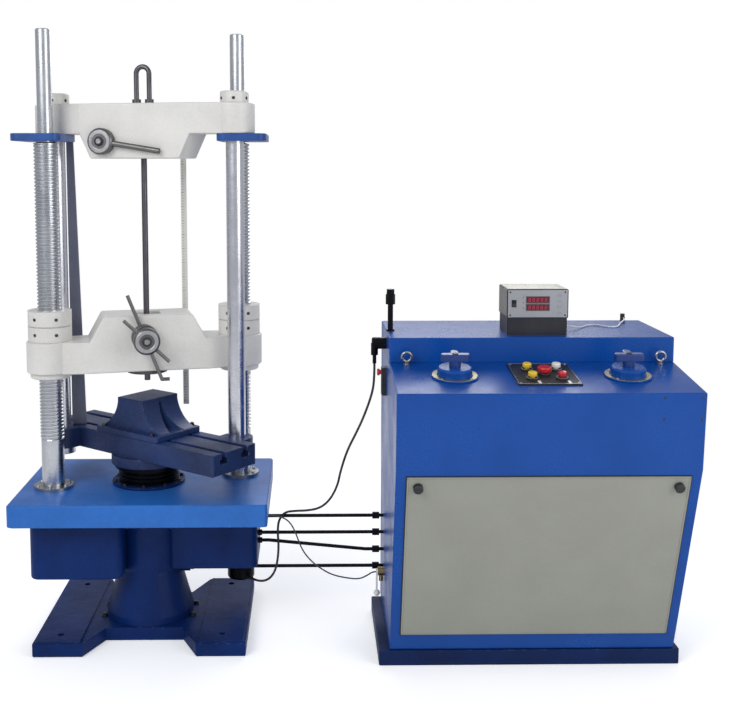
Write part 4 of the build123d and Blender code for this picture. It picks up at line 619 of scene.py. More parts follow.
@dataclass(frozen=True)
class Metal(Finish):
    """Bare metal, turned, drawn, blackened or polished: machining lines, oil stains and a soft edge.

    Attributes:
        stretch: How the machining lines run: a large value packs lines across that axis.
        depth: The lines' height.
        stain: A darker tone in patches.
        stained: How strong the patches are.
        edge: The radius that softens its edges, or 0.
        spread: How much the lines change its roughness.
    """

    scales: ClassVar[Pair] = (9.0, 260.0)
    stretch: Point = (30.0, 30.0, 1500.0)
    depth: float = 0.01
    stain: Colour = (0.2, 0.19, 0.18)
    stained: float = 0.35
    edge: float = 1.0
    spread: float = 0.3

    def look(self, graph: Graph, place: NodeSocket) -> Dict[object, object]:
        """Fills the material's tree.

        Args:
            graph: The material's graph.
            place: Object coordinates.

        Returns:
            What goes to the Principled shader's inputs.
        """
        uneven = self.clouded(graph, place, self.stain, self.stained)
        lines = graph.use(machining_lines, {"Place": place, "Stretch": self.stretch})["Value"]
        spread = graph.maths("MULTIPLY", graph.maths("SUBTRACT", lines, 0.5), self.spread)
        height = graph.maths("MULTIPLY", lines, self.depth * MM)
        return {"Base Color": uneven["Colour"], "Roughness": graph.maths("ADD", uneven["Roughness"], spread),
                "Metallic": 1.0, "Normal": graph.bump(height, graph.soft(self.edge) if self.edge else None)}


@dataclass(frozen=True)
class Moulding(Finish):
    """Moulded plastic or rubber, with a fine grain and a little dust.

    Attributes:
        grain: The height of its moulded grain.
        dust: A paler tone that lies on it.
        dusty: How much of that tone shows.
        coat: The share of gloss on top.
    """

    scales: ClassVar[Pair] = (14.0, 500.0)
    grain: float = 0.03
    dust: Colour = (0.3, 0.3, 0.3)
    dusty: float = 0.1
    coat: float = 0.0

    def look(self, graph: Graph, place: NodeSocket) -> Dict[object, object]:
        """Fills the material's tree.

        Args:
            graph: The material's graph.
            place: Object coordinates.

        Returns:
            What goes to the Principled shader's inputs.
        """
        uneven = self.clouded(graph, place, self.dust, self.dusty)
        coat = graph.use(casting_skin, {"Place": place, "Lump Scale": 300.0, "Peel Scale": 1600.0,
                                        "Lumps": self.grain * MM * 0.5, "Peel": self.grain * MM})
        return {"Base Color": uneven["Colour"], "Roughness": uneven["Roughness"],
                "Normal": graph.bump(coat["Height"]), "Coat Weight": self.coat, "Coat Roughness": 0.12}


@dataclass(frozen=True)
class Glow(Finish):
    """A display segment: a red light, a little uneven.

    Attributes:
        strength: How bright it is.
    """

    strength: float = 1.6

    def look(self, graph: Graph, place: NodeSocket) -> Dict[object, object]:
        """Fills the material's tree.

        Args:
            graph: The material's graph.
            place: Object coordinates.

        Returns:
            What goes to the Principled shader's inputs.
        """
        dim = (*(channel * 0.7 for channel in self.colour), 1)
        bright = graph.blend(graph.ramp(graph.noise(place, 400.0), 0.3, 0.7), (*self.colour, 1), dim)
        return {"Base Color": bright, "Emission Color": bright, "Emission Strength": self.strength,
                "Roughness": self.roughness}


CASTING_BLUE = Paint("casting_blue", tint(10, 44, 104), 0.42, "dark_blue_paint", shade=tint(6, 24, 64),
                     mottle=0.75, lumps=1.4, peel=0.05, chips=0.35, coat=0.08, specular=0.1, edge=5.0)
BEAM_BLUE = Paint("beam_blue", tint(36, 58, 108), 0.45, "dark_blue_paint", shade=tint(16, 24, 48),
                  mottle=0.8, lumps=0.5, chips=0.8, coat=0.1)
TABLE_BLUE = Paint("table_blue", tint(38, 108, 192), 0.4, "mid_blue_paint", shade=tint(28, 76, 142),
                   mottle=0.5, lumps=0.25, chips=0.5, coat=0.1)
FITTING_BLUE = Paint("fitting_blue", tint(44, 88, 160), 0.4, "mid_blue_paint", shade=tint(24, 48, 96),
                     mottle=0.7, lumps=0.4, chips=0.6, coat=0.1)
CABINET_BLUE = Paint("cabinet_blue", tint(6, 72, 154), 0.34, "cabinet_blue_paint", shade=tint(6, 54, 126),
                     mottle=0.45, lumps=0.12, peel=0.03, chips=0.25, coat=0.12, specular=0.22, edge=4.0)
CROSSHEAD_WHITE = Paint("crosshead_white", tint(217, 215, 210), 0.38, "white_paint",
                        shade=tint(182, 180, 174), mottle=0.5, lumps=0.8, chips=0.2, coat=0.15,
                        specular=0.4, edge=5.0)
PANEL_CREAM = Paint("panel_cream", tint(151, 152, 142), 0.4, "panel_grey", shade=tint(136, 137, 127),
                    mottle=0.5, lumps=0.1, peel=0.03, chips=0.15, under=tint(190, 190, 180))
PLINTH_DARK = Paint("plinth_dark", tint(8, 36, 86), 0.5, "plinth_black", shade=tint(6, 20, 52), mottle=0.7,
                    lumps=0.2, chips=0.6, specular=0.15)
GUARD_GREY = Paint("guard_grey", tint(118, 121, 138), 0.42, "mid_blue_paint", shade=tint(92, 96, 118),
                   mottle=0.6, lumps=0.3, chips=0.5, coat=0.1)
STRIP_PALE = Paint("strip_pale", tint(222, 221, 214), 0.45, "strip_pale", shade=tint(196, 194, 184),
                   mottle=0.4, edge=0.6)
COLUMN_STEEL = Metal("column_steel", tint(214, 214, 220), 0.27, "polished_steel", stained=0.18,
                     stain=tint(150, 150, 154))
SCREW_STEEL = Metal("screw_steel", tint(196, 198, 202), 0.3, "bright_steel", stretch=(6.0, 6.0, 60.0),
                    depth=0.0005, stained=0.1, stain=tint(140, 138, 136), edge=0.0, spread=0.05)
TURNED_STEEL = Metal("turned_steel", tint(176, 176, 178), 0.34, "bright_steel", stained=0.4,
                     stain=tint(90, 88, 86))
DARK_STEEL = Metal("dark_steel", tint(104, 101, 106), 0.42, "dark_steel", stained=0.5,
                   stain=tint(62, 59, 62))
HANDLE_STEEL = Metal("handle_steel", tint(120, 118, 118), 0.4, "bright_steel", stained=0.4,
                     stain=tint(74, 72, 72))
PIPE_BLACK = Metal("pipe_black", tint(34, 34, 38), 0.4, "dark_steel", stained=0.4, stain=tint(16, 16, 18))
JAW_STEEL = Metal("jaw_steel", tint(120, 119, 118), 0.45, "jaw_steel", stained=0.5)
RAM_BLACK = Metal("ram_black", tint(30, 30, 34), 0.38, "cast_black", stained=0.5, stain=tint(14, 14, 16))
FITTING_BRASS = Metal("fitting_brass", tint(168, 146, 104), 0.35, "brass", stained=0.5,
                      stain=tint(96, 84, 64))
ALL_WAYS = (400.0, 400.0, 400.0)
BRIGHT_FASTENER = Metal("bright_fastener", tint(190, 190, 192), 0.3, "bright_steel", stretch=ALL_WAYS)
DARK_FASTENER = Metal("dark_fastener", tint(54, 54, 58), 0.4, "dark_steel", stretch=ALL_WAYS)
RING_PALE = Metal("ring_pale", tint(198, 190, 160), 0.42, "bright_steel", stained=0.5,
                  stain=tint(128, 118, 92))
FACE_SILVER = Metal("face_silver", tint(176, 178, 182), 0.45, "display_silver", stretch=(900.0, 30.0, 30.0),
                    stained=0.2)
CASE_SILVER = Metal("case_silver", tint(150, 147, 140), 0.48, "display_silver", stretch=(30.0, 900.0, 30.0),
                    stained=0.2)
BLACK_PLASTIC = Moulding("black_plastic", tint(22, 22, 25), 0.5, "black_plastic", dusty=0.06)
CASE_GREY = Moulding("case_grey", tint(22, 23, 30), 0.48, "black_plastic", dusty=0.05)
# Near-black: the printed height marks, and the strip of painted shadow round the service panel.
SLOT_DARK = Moulding("slot_dark", tint(12, 12, 14), 0.6, "black_plastic", dusty=0.02)
KEY_GREY = Moulding("key_grey", tint(150, 152, 162), 0.5, "display_silver", dusty=0.1)
KNOB_BLUE = Moulding("knob_blue", tint(14, 50, 116), 0.4, "blue_plastic", dust=tint(50, 88, 146),
                     dusty=0.15, coat=0.12)
BUTTON_RED = Moulding("button_red", tint(196, 26, 30), 0.3, "red_plastic", dust=tint(150, 20, 22),
                      dusty=0.4, coat=0.4)
BUTTON_YELLOW = Moulding("button_yellow", tint(232, 196, 40), 0.32, "yellow_plastic",
                         dust=tint(190, 150, 24), dusty=0.3, coat=0.3)
BUTTON_WHITE = Moulding("button_white", tint(232, 230, 224), 0.35, "white_plastic",
                        dust=tint(200, 198, 190), dusty=0.3, coat=0.2)
CABLE_BLACK = Moulding("cable_black", tint(26, 26, 30), 0.55, "cable_black", dusty=0.1)
CABLE_GREY = Moulding("cable_grey", tint(60, 62, 68), 0.55, "cable_black", dusty=0.12)
CABLE_WHITE = Moulding("cable_white", tint(224, 226, 230), 0.5, "cable_white", dust=tint(180, 180, 178),
                       dusty=0.2)
WINDOW_RED = Moulding("window_red", tint(84, 12, 32), 0.14, "display_silver", grain=0.0, dusty=0.0,
                      coat=0.5)
DIGIT_GLOW = Glow("digit_glow", tint(190, 40, 70), 0.4, "display_silver", strength=0.25)

NODE_FINISHES: Dict[str, Finish] = {node: finish for finish, nodes in (
    (CASTING_BLUE, "base_casting drive_housing ram_cylinder"),
    (TABLE_BLUE, "table_plate"),
    (BEAM_BLUE, "lower_table bending_block"),
    (FITTING_BLUE, "tie_plates"),
    (GUARD_GREY, "guard_plate"),
    (CABINET_BLUE, "console_cabinet raised_box valve_bodies"),
    (PLINTH_DARK, "console_plinth"),
    (PANEL_CREAM, "service_panel"),
    (CROSSHEAD_WHITE, "upper_crosshead lower_crosshead screw_nuts column_collars"),
    (STRIP_PALE, "scale_strip"),
    (COLUMN_STEEL, "straight_columns"),
    (SCREW_STEEL, "front_screw rear_screw"),
    (TURNED_STEEL, "eyebolts screw_bearings"),
    (HANDLE_STEEL, "upper_jaw_handle lower_jaw_handle"),
    (DARK_STEEL, "lifting_loop platen test_bar drive_chain"),
    (PIPE_BLACK, "hydraulic_pipes pressure_fittings"),
    (JAW_STEEL, "upper_jaw_left upper_jaw_right lower_jaw_left lower_jaw_right"),
    (RAM_BLACK, "ram drive_motor power_pack"),
    (FITTING_BRASS, "drain_cock"),
    (FACE_SILVER, "indicator_face"),
    (CASE_GREY, "indicator_case"),
    (BLACK_PLASTIC, "button_plate rocker_switch side_switch_box cable_glands"),
    (BLACK_PLASTIC, "panel_knob_left panel_knob_right"),
    (KNOB_BLUE, "valve_knob_left valve_knob_right"),
    (BUTTON_YELLOW, "pump_start_button pump_stop_button"),
    (BUTTON_RED, "emergency_button crosshead_down_button side_button"),
    (BUTTON_WHITE, "crosshead_up_button cock_lever"),
    (CABLE_BLACK, "signal_cable"),
    (CABLE_GREY, "motor_cable"),
    (CABLE_WHITE, "indicator_lead"),
) for node in nodes.split()}


def moved(frame: Matrix, x: float, y: float, z: float = 0.0) -> Matrix:
    """A frame moved along its own axes."""
    return frame @ Matrix.Translation(Vector((x, y, z)) * MM)


def placed(place: Point, turn: float, axis: str) -> Matrix:
    """A frame at a place in the row frame, turned about one of its axes."""
    return moved(Matrix.Identity(4), *place) @ Matrix.Rotation(turn, 4, axis)


COLUMN_X, COLUMN_Y = 315.0, 75.0
SCREW_PLACES = ((-COLUMN_X, -COLUMN_Y), (COLUMN_X, COLUMN_Y))
COLUMN_PLACES = ((-COLUMN_X, COLUMN_Y), (COLUMN_X, -COLUMN_Y))
CROSSHEAD_TURN = math.atan2(COLUMN_Y, COLUMN_X)
BEAM_TURN = math.radians(-38)
UNIT_PLACE = (-670.5, 117.669, 0)
UNIT, UPPER, LOWER, BEAM = (placed(UNIT_PLACE, turn, "Z") for turn in (
    0.0, -CROSSHEAD_TURN, CROSSHEAD_TURN, BEAM_TURN))
UPRIGHT = math.pi / 2
CONSOLE_X = 614.5
DESK_FRONT = (CONSOLE_X, -447.331, 944)
KNEE_FOOT = (CONSOLE_X, -223.331, 51)
FACE_MIDDLE = (640.5, -96.331, 1166)
DESK_SLOPE, BAND_SLOPE, KNEE_SLOPE = (math.atan2(*sides) for sides in ((37, 304), (15, 239), (209, 654)))
DESK = placed(DESK_FRONT, DESK_SLOPE, "X")
BAND = placed(DESK_FRONT, UPRIGHT + BAND_SLOPE, "X")
KNEE = placed(KNEE_FOOT, UPRIGHT + KNEE_SLOPE, "X")
FACE = placed(FACE_MIDDLE, UPRIGHT, "X")
VALVE_X, VALVE_Y = 270, 161


@dataclass
class Piece:
    """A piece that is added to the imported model.

    Attributes:
        name: Its name.
        finish: What it is made of.
        body: The rigid body that it moves with.
    """

    name: str
    finish: Finish
    body: Body = Body.FRAME

    def place(self, mesh: Mesh, node: Optional[str] = None) -> Object:
        """Puts a finished mesh in the scene, on its body.

        Args:
            mesh: The mesh, already in the row frame.
            node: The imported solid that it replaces, if any.

        Returns:
            The piece.
        """
        piece = linked(self.name, mesh)
        mesh.materials.clear()
        mesh.materials.append(self.finish.material())
        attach(piece, self.body.value)
        if node:
            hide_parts(node)
        LOG.info("piece %s rides on %s", self.name, self.body.value)
        return piece

    def plates(self, blocks: Iterable[Block], bevel: float) -> Object:
        """Builds the piece as bevelled blocks.

        Args:
            blocks: Each block's frame and its three sizes.
            bevel: The width of the bevel on every edge.

        Returns:
            The piece.
        """
        whole = bmesh.new()
        for frame, size in blocks:
            block = bmesh.new()
            bmesh.ops.create_cube(block, size=1.0)
            bmesh.ops.scale(block, vec=[side * MM for side in size], verts=block.verts)
            bmesh.ops.bevel(block, geom=list(block.edges), offset=bevel * MM, segments=2, profile=0.6,
                            affect="EDGES")
            bmesh.ops.transform(block, matrix=frame, verts=block.verts)
            absorb(whole, to_mesh(block, "block"))
        return self.place(closed_mesh(whole, self.name))

    def turned(self, profile: Sequence[Pair], frames: Sequence[Matrix], steps: int) -> Object:
        """Builds the piece as a turned shape, repeated in several frames."""
        return self.place(turned_mesh(self.name, profile, frames, steps))


def to_mesh(form: BMesh, name: str) -> Mesh:
    """A mesh of a bmesh, which is freed.

    Args:
        form: The bmesh.
        name: The mesh's name.

    Returns:
        The mesh.
    """
    mesh = bpy.data.meshes.new(name)
    form.to_mesh(mesh)
    form.free()
    return mesh


def absorb(whole: BMesh, part: Mesh) -> None:
    """Adds a mesh to a bmesh and removes it."""
    whole.from_mesh(part)
    bpy.data.meshes.remove(part)


def closed_mesh(form: BMesh, name: str) -> Mesh:
    """A flat-shaded mesh with outward faces.

    Args:
        form: The bmesh, which is freed.
        name: The mesh's name.

    Returns:
        The mesh.
    """
    bmesh.ops.remove_doubles(form, verts=form.verts, dist=WELD)
    bmesh.ops.recalc_face_normals(form, faces=form.faces)
    for face in form.faces:
        face.smooth = False
    return to_mesh(form, name)


def turned_mesh(name: str, profile: Sequence[Pair], frames: Sequence[Matrix], steps: int,
                unit: float = MM) -> Mesh:
    """A closed turned shape, repeated in several frames.

    Args:
        name: The mesh's name.
        profile: Radius and height pairs round a closed loop or from axis to axis.
        frames: Where each copy stands; its axis is the frame's Z.
        steps: How many faces go round.
        unit: The profile's unit, in metres.

    Returns:
        The mesh.
    """
    whole = bmesh.new()
    turns = [2 * math.pi * step / steps for step in range(steps)]
    for frame in frames:
        rings = []
        for turn in turns:
            x, y = math.cos(turn), math.sin(turn)
            corners = [Vector((r * unit * x, r * unit * y, z * unit)) for r, z in profile]
            rings.append([whole.verts.new(frame @ corner) for corner in corners])
        skin(whole, rings)
    bmesh.ops.dissolve_degenerate(whole, dist=1e-7, edges=whole.edges)
    return closed_mesh(whole, name)


def skin(whole: BMesh, rings: Sequence[Sequence[bmesh.types.BMVert]]) -> None:
    """Joins closed rings of corners into a closed tube, the last ring to the first.

    Args:
        whole: The bmesh that gets the faces.
        rings: The rings, with as many corners in each.
    """
    for row, here in enumerate(rings):
        there = rings[(row + 1) % len(rings)]
        for index in range(len(here)):
            after = (index + 1) % len(here)
            whole.faces.new([here[index], there[index], there[after], here[after]])


def smooth_mesh(form: BMesh, name: str) -> Mesh:
    """A smooth mesh that stays sharp where its faces bend strongly.

    Args:
        form: The bmesh, which is freed.
        name: The mesh's name.

    Returns:
        The mesh.
    """
    for face in form.faces:
        face.smooth = True
    mesh = to_mesh(form, name)
    mesh.set_sharp_from_angle(angle=SHARP_ANGLE)
    return mesh


def border(frame: Matrix, centre: Point, half: Pair, lengths: Pair, bar: Pair) -> List[Block]:
    """Four bars round a rectangle.

    Args:
        frame: The frame that it lies in.
        centre: Its middle.
        half: How far the upright and the level bars are from the middle.
        lengths: How long the level and the upright bars are.
        bar: A bar's width and thickness.

    Returns:
        Each bar's frame and size.
    """
    x, y, z = centre
    width, thickness = bar
    bars = []
    for side in SIDES:
        bars.append((moved(frame, x, y + side * half[1], z), (lengths[0], width, thickness)))
        bars.append((moved(frame, x + side * half[0], y, z), (width, lengths[1], thickness)))
    return bars


@dataclass
class LeadScrew:
    """One lead screw: a threaded length between a plain shank and a plain top, and its chain wheel.

    Attributes, with lengths in metres:
        body: The body and node that it stands for.
        radius: Outside radius of the plain solid.
        inset: How far the thread stays inside that radius.
        shank_radius: Radius of the shank under the thread.
        journal_radius: Radius of the journal in the bearing.
        top_radius: Radius of the plain top.
        thread_start: Height where the thread begins.
        thread_end: Height where it ends.
        shoulder: Height of the shoulder over the bearing.
        pitch: Rise of the thread in one turn.
        depth: Depth of the thread.
        chamfer: The chamfer at both ends and under the thread.
        run_out: Height of the cone from the thread to the plain top.
        wheel_radius: Outside radius of the chain wheel.
        wheel_root: Its radius between two teeth.
        wheel_top: Height of its upper face.
        wheel_thickness: Its thickness.
        wheel_teeth: How many teeth it has.
        tooth: Half a tooth's width at its root and at its tip, over the pitch of the teeth.
        around: How many corners go round one turn of the thread.
        along: How many rows of them there are in a pitch.
        steps: How many faces go round the plain lengths.
    """

    body: Body
    radius: float = 0.04
    inset: float = 0.0001
    shank_radius: float = 0.038
    journal_radius: float = 0.033
    top_radius: float = 0.025
    thread_start: float = 0.69
    thread_end: float = 1.69
    shoulder: float = 0.5273
    pitch: float = 0.012
    depth: float = 0.0038
    chamfer: float = 0.003
    run_out: float = 0.004
    wheel_radius: float = 0.0449
    wheel_root: float = 0.040
    wheel_top: float = 0.419
    wheel_thickness: float = 0.014
    wheel_teeth: int = 18
    tooth: Pair = (0.3, 0.18)
    around: int = 49
    along: int = 10
    steps: int = 48

    def build(self) -> Object:
        """Builds the screw and hides its plain solid.

        Returns:
            The piece.
        """
        low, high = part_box(self.body.value)
        axis = Vector(((low.x + high.x) / 2, (low.y + high.y) / 2, 0))
        turns = int((self.thread_end - self.thread_start) / self.pitch)
        start, end = self.thread_start, self.thread_start + turns * self.pitch
        crest = self.radius - self.inset
        thread = helical_thread.realise(
            self.body.value + "_thread", [((axis.x, axis.y, start), (0, 0, 1))],
            {"Radius": crest, "Length": turns * self.pitch, "Pitch": self.pitch, "Depth": self.depth,
             "Around": self.around, "Along": (turns + 1) * self.along + 1,
             "Material": SCREW_STEEL.material()})
        whole = bmesh.new()
        absorb(whole, thread)
        bmesh.ops.holes_fill(whole, edges=[edge for edge in whole.edges if edge.is_boundary], sides=0)
        journal, shank, top, cut = self.journal_radius, self.shank_radius, self.top_radius, self.chamfer
        for profile in (
            [(0, low.z), (journal - cut, low.z), (journal, low.z + cut), (journal, self.shoulder),
             (shank, self.shoulder), (shank, start - cut), (self.radius - self.depth, start), (0, start)],
            [(0, end), (crest, end), (crest, self.thread_end), (top, self.thread_end + self.run_out),
             (top, high.z - cut), (top - cut, high.z), (0, high.z)],
        ):
            absorb(whole, turned_mesh("turned", profile, [Matrix.Translation(axis)], self.steps, unit=1.0))
        self.add_wheel(whole, axis)
        name = self.body.value + "_cut_thread"
        return Piece(name, SCREW_STEEL, self.body).place(smooth_mesh(whole, name), self.body.value)

    def add_wheel(self, whole: BMesh, axis: Vector) -> None:
        """Adds the chain wheel, a toothed ring round the journal.

        Args:
            whole: The bmesh that gets it.
            axis: The screw's axis on the floor.
        """
        step = 2 * math.pi / self.wheel_teeth
        root, tip = self.wheel_root, self.wheel_radius
        foot, crown = self.tooth
        tooth = ((-foot, root), (-crown, tip), (crown, tip), (foot, root))
        outline = [((index + share) * step, radius)
                   for index in range(self.wheel_teeth) for share, radius in tooth]
        bore = [(angle, self.journal_radius) for angle, _ in outline]
        top, bottom = self.wheel_top, self.wheel_top - self.wheel_thickness
        rings = []
        for loop, z in ((bore, bottom), (bore, top), (outline, top), (outline, bottom)):
            corners = [(radius * math.cos(angle), radius * math.sin(angle), z) for angle, radius in loop]
            rings.append([whole.verts.new(axis + Vector(corner)) for corner in corners])
        skin(whole, rings)


@dataclass
class CableRun:
    """One free cable, laid along its route.

    Attributes:
        node: The plain solid that it stands for.
        route: The route's points.
        diameter: Its thickness.
        length: Its length.
        finish: Its sheath.
        stiffness: Its stiffness; not used.
    """

    node: str
    route: Sequence[Point]
    diameter: float
    length: float
    finish: Finish
    stiffness: str = "medium"

    def build(self) -> Object:
        """Builds the cable as one smooth curve.

        Returns:
            The piece.
        """
        curve = bpy.data.curves.new(self.node + "_sheath", "CURVE")
        curve.dimensions = "3D"
        curve.bevel_depth = self.diameter / 2 * MM
        curve.bevel_resolution = 4
        curve.use_fill_caps = True
        curve.resolution_u = 10
        spline = curve.splines.new("NURBS")
        spline.points.add(len(self.route) - 1)
        for knot, point in zip(spline.points, self.route):
            knot.co = (*(part * MM for part in point), 1)
        spline.order_u = 3
        spline.use_endpoint_u = True
        curve.materials.append(self.finish.material())
        piece = linked(self.node + "_sheath", curve)
        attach(piece, Body.FRAME.value)
        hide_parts(self.node)
        LOG.info("cable %s, %.0f mm", self.node, self.length)
        return piece


@dataclass
class RoundedCasting:
    """A casting or a folded sheet part whose outer edges are rounded in its own mesh.

    Attributes:
        node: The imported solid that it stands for.
        body: The body that it is on.
        radius: The rounding.
        held: Whether the narrowest place limits the rounding everywhere.
        steps: How many faces make up the rounding.
        sharpest: Edges that bend by less than this aren't rounded, in degrees.
        room: How many radii of flat an edge needs on both sides.
        reach: How many radii round a folded face an edge stays sharp.
        fold: The overlap that makes a face a folded one, in square metres.
        tries: How often edges are dropped before the rounding is given up.
        volumes: The least and the most of its volume that the rounding may leave.
        profile: The shape of the rounding, where 0.5 is an arc.
        weld: Corners closer than this are joined first, in metres.
        level: Faces that bend by less than this are one face, in degrees.
        hole: The bends between which a strip's neighbours make it the wall of a hole, in degrees.
        slack: How far past an edge's ends a corner is still beside it, over the edge's length.
    """

    node: str
    body: Body
    radius: float
    held: bool = True
    steps: int = 3
    sharpest: float = 32.0
    room: float = 2.3
    reach: float = 1.6
    fold: float = 4e-6
    tries: int = 6
    volumes: Pair = (0.97, 1.0005)
    profile: float = 0.55
    weld: float = 2e-5
    level: float = 0.6
    hole: Pair = (-50.0, -0.5)
    slack: float = 0.02

    def wall_of_hole(self, edge: BMEdge, face: BMFace) -> bool:
        """Whether a face beside an edge is a strip of a round hole.

        Args:
            edge: The edge.
            face: One of its faces.

        Returns:
            True where the strip's neighbours bend inwards.
        """
        beside = [side for side in face.edges
                  if side != edge and set(side.verts) & set(edge.verts) and len(side.link_faces) == 2]
        bends = [math.degrees(side.calc_face_angle_signed(0.0)) for side in beside]
        return any(self.hole[0] < bend < self.hole[1] for bend in bends)

    def roomy(self, edge: BMEdge, face: BMFace) -> bool:
        """Whether a face reaches far enough from an edge for the rounding.

        Args:
            edge: The edge.
            face: One of its faces.

        Returns:
            True where it does.
        """
        first, last = (vert.co for vert in edge.verts)
        across = face.normal.cross((last - first).normalized())
        return max(abs((vert.co - first).dot(across)) for vert in face.verts) > self.room * self.radius * MM

    def wanted(self, edge: BMEdge) -> bool:
        """Whether an edge is an outer one with room for the rounding.

        Args:
            edge: The edge.

        Returns:
            True where it is rounded.
        """
        if len(edge.link_faces) != 2 or math.degrees(edge.calc_face_angle_signed(0.0)) < self.sharpest:
            return False
        return all(self.roomy(edge, face) and not self.wall_of_hole(edge, face) for face in edge.link_faces)

    def trial(self, plain: BMesh, chosen: List[int]) -> Tuple[BMesh, List[Vector]]:
        """Rounds some edges and looks for faces that fold over themselves.

        Args:
            plain: The form with sharp edges.
            chosen: Which of its edges are rounded.

        Returns:
            The rounded form, and the corners of its folded faces.
        """
        form = plain.copy()
        form.edges.ensure_lookup_table()
        bmesh.ops.bevel(form, geom=[form.edges[index] for index in chosen], offset=self.radius * MM,
                        offset_type="OFFSET", segments=self.steps, profile=self.profile, affect="EDGES",
                        clamp_overlap=self.held, loop_slide=True)
        form.normal_update()
        form.faces.index_update()
        covered = [0.0] * len(form.faces)
        for loops in form.calc_loop_triangles():
            covered[loops[0].face.index] += area_tri(*(loop.vert.co for loop in loops))
        folded = [face for face in form.faces if covered[face.index] - face.calc_area() > self.fold]
        return form, [vert.co.copy() for face in folded for vert in face.verts]

    def kept(self, edge: BMEdge, corners: List[Vector]) -> bool:
        """Whether an edge is away from every folded face.

        Args:
            edge: The edge.
            corners: The folded faces' corners.

        Returns:
            True where it can still be rounded.
        """
        first, last = (vert.co for vert in edge.verts)
        for corner in corners:
            near, share = intersect_point_line(corner, first, last)
            beside = -self.slack < share < 1 + self.slack
            if beside and (near - corner).length < self.reach * self.radius * MM:
                return False
        return True

    @staticmethod
    def flat_normals(form: BMesh) -> List[Vector]:
        """Normals that stay level on the large faces and turn on the roundings.

        Args:
            form: The rounded form.

        Returns:
            A normal for each corner of each face.
        """
        form.normal_update()
        form.faces.index_update()
        areas = [face.calc_area() for face in form.faces]
        limit = math.cos(SHARP_ANGLE)
        normals = []
        for face in form.faces:
            for loop in face.loops:
                near = [other for other in loop.vert.link_faces if other.normal.dot(face.normal) > limit]
                total = sum((other.normal * areas[other.index] for other in near), Vector())
                normals.append(total.normalized() if total.length > 0 else face.normal.copy())
        return normals

    def build(self, nodes: Dict[str, Object]) -> Optional[Object]:
        """Builds the rounded part, or leaves the plain solid where rounding fails.

        Args:
            nodes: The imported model's objects by node.

        Returns:
            The piece, or None.
        """
        plain = bmesh.new()
        plain.from_mesh(nodes[self.node].data)
        bmesh.ops.remove_doubles(plain, verts=plain.verts, dist=self.weld)
        before = plain.calc_volume()
        level = math.radians(self.level)
        bmesh.ops.dissolve_limit(plain, angle_limit=level, verts=plain.verts, edges=plain.edges)
        plain.edges.index_update()
        plain.edges.ensure_lookup_table()
        chosen = [edge.index for edge in plain.edges if self.wanted(edge)]
        found = len(chosen)
        form, corners = self.trial(plain, chosen)
        for _ in range(self.tries):
            if not corners:
                break
            form.free()
            chosen = [index for index in chosen if self.kept(plain.edges[index], corners)]
            form, corners = self.trial(plain, chosen)
        plain.free()
        bmesh.ops.triangulate(form, faces=[face for face in form.faces if len(face.verts) > 4])
        share = form.calc_volume() / before
        open_edges = sum(1 for edge in form.edges if len(edge.link_faces) != 2)
        LOG.info("rounded %s: %d of %d edges, volume ratio %.5f, open edges %d, folded corners %d",
                 self.node, len(chosen), found, share, open_edges, len(corners))
        if corners or open_edges or not self.volumes[0] < share <= self.volumes[1]:
            form.free()
            return None
        normals = self.flat_normals(form)
        name = self.node + "_rounded"
        mesh = smooth_mesh(form, name)
        mesh.normals_split_custom_set(normals)
        return Piece(name, NODE_FINISHES[self.node], self.body).place(mesh, self.node)


def heads(frame: Matrix, places: Iterable[Point]) -> List[Head]:
    """Screw heads that face along a frame's Z."""
    facing = tuple((frame.to_3x3() @ Vector((0, 0, 1))).normalized())
    return [(tuple(frame @ (Vector(place) * MM)), facing) for place in places]


def ring(frame: Matrix, radius: float, count: int, start: float) -> List[Head]:
    """Screw heads round a circle that face along the frame's Z."""
    turns = [math.radians(start) + 2 * math.pi * index / count for index in range(count)]
    return heads(frame, [(radius * math.cos(turn), radius * math.sin(turn), 0) for turn in turns])


def rim(frame: Matrix, radius: float, angles: Sequence[float]) -> List[Head]:
    """Screw heads on the side of an upright cylinder that face outwards.

    Args:
        frame: The cylinder's frame at the heads' height.
        radius: The cylinder's radius.
        angles: Where the heads are, in degrees.

    Returns:
        Each head's point and facing.
    """
    found = []
    for angle in angles:
        out = Vector((math.cos(math.radians(angle)), math.sin(math.radians(angle)), 0))
        found.append((tuple(frame @ (out * radius * MM)), tuple((frame.to_3x3() @ out).normalized())))
    return found


@dataclass
class FastenerSet:
    """Screw heads of one size on one body.

    Attributes:
        name: The set's name.
        finish: What they are made of.
        size: Radius and height of a head.
        places: Each head's point, in metres, and where it faces.
        body: The body that they are on.
        sides: Six for a hexagon, more for a round head.
        washer: The washer's radius over the head's.
    """

    name: str
    finish: Finish
    size: Pair
    places: List[Head]
    body: Body = Body.FRAME
    sides: int = HEXAGON
    washer: float = 1.3

    def build(self) -> Object:
        """Builds the set as one piece.

        Returns:
            The piece.
        """
        mesh = fastener_heads.realise(self.name, self.places, {
            "Head Radius": self.size[0] * MM, "Head Height": self.size[1] * MM, "Sides": self.sides,
            "Washer": self.washer, "Material": self.finish.material()})
        return Piece(self.name, self.finish, self.body).place(mesh)


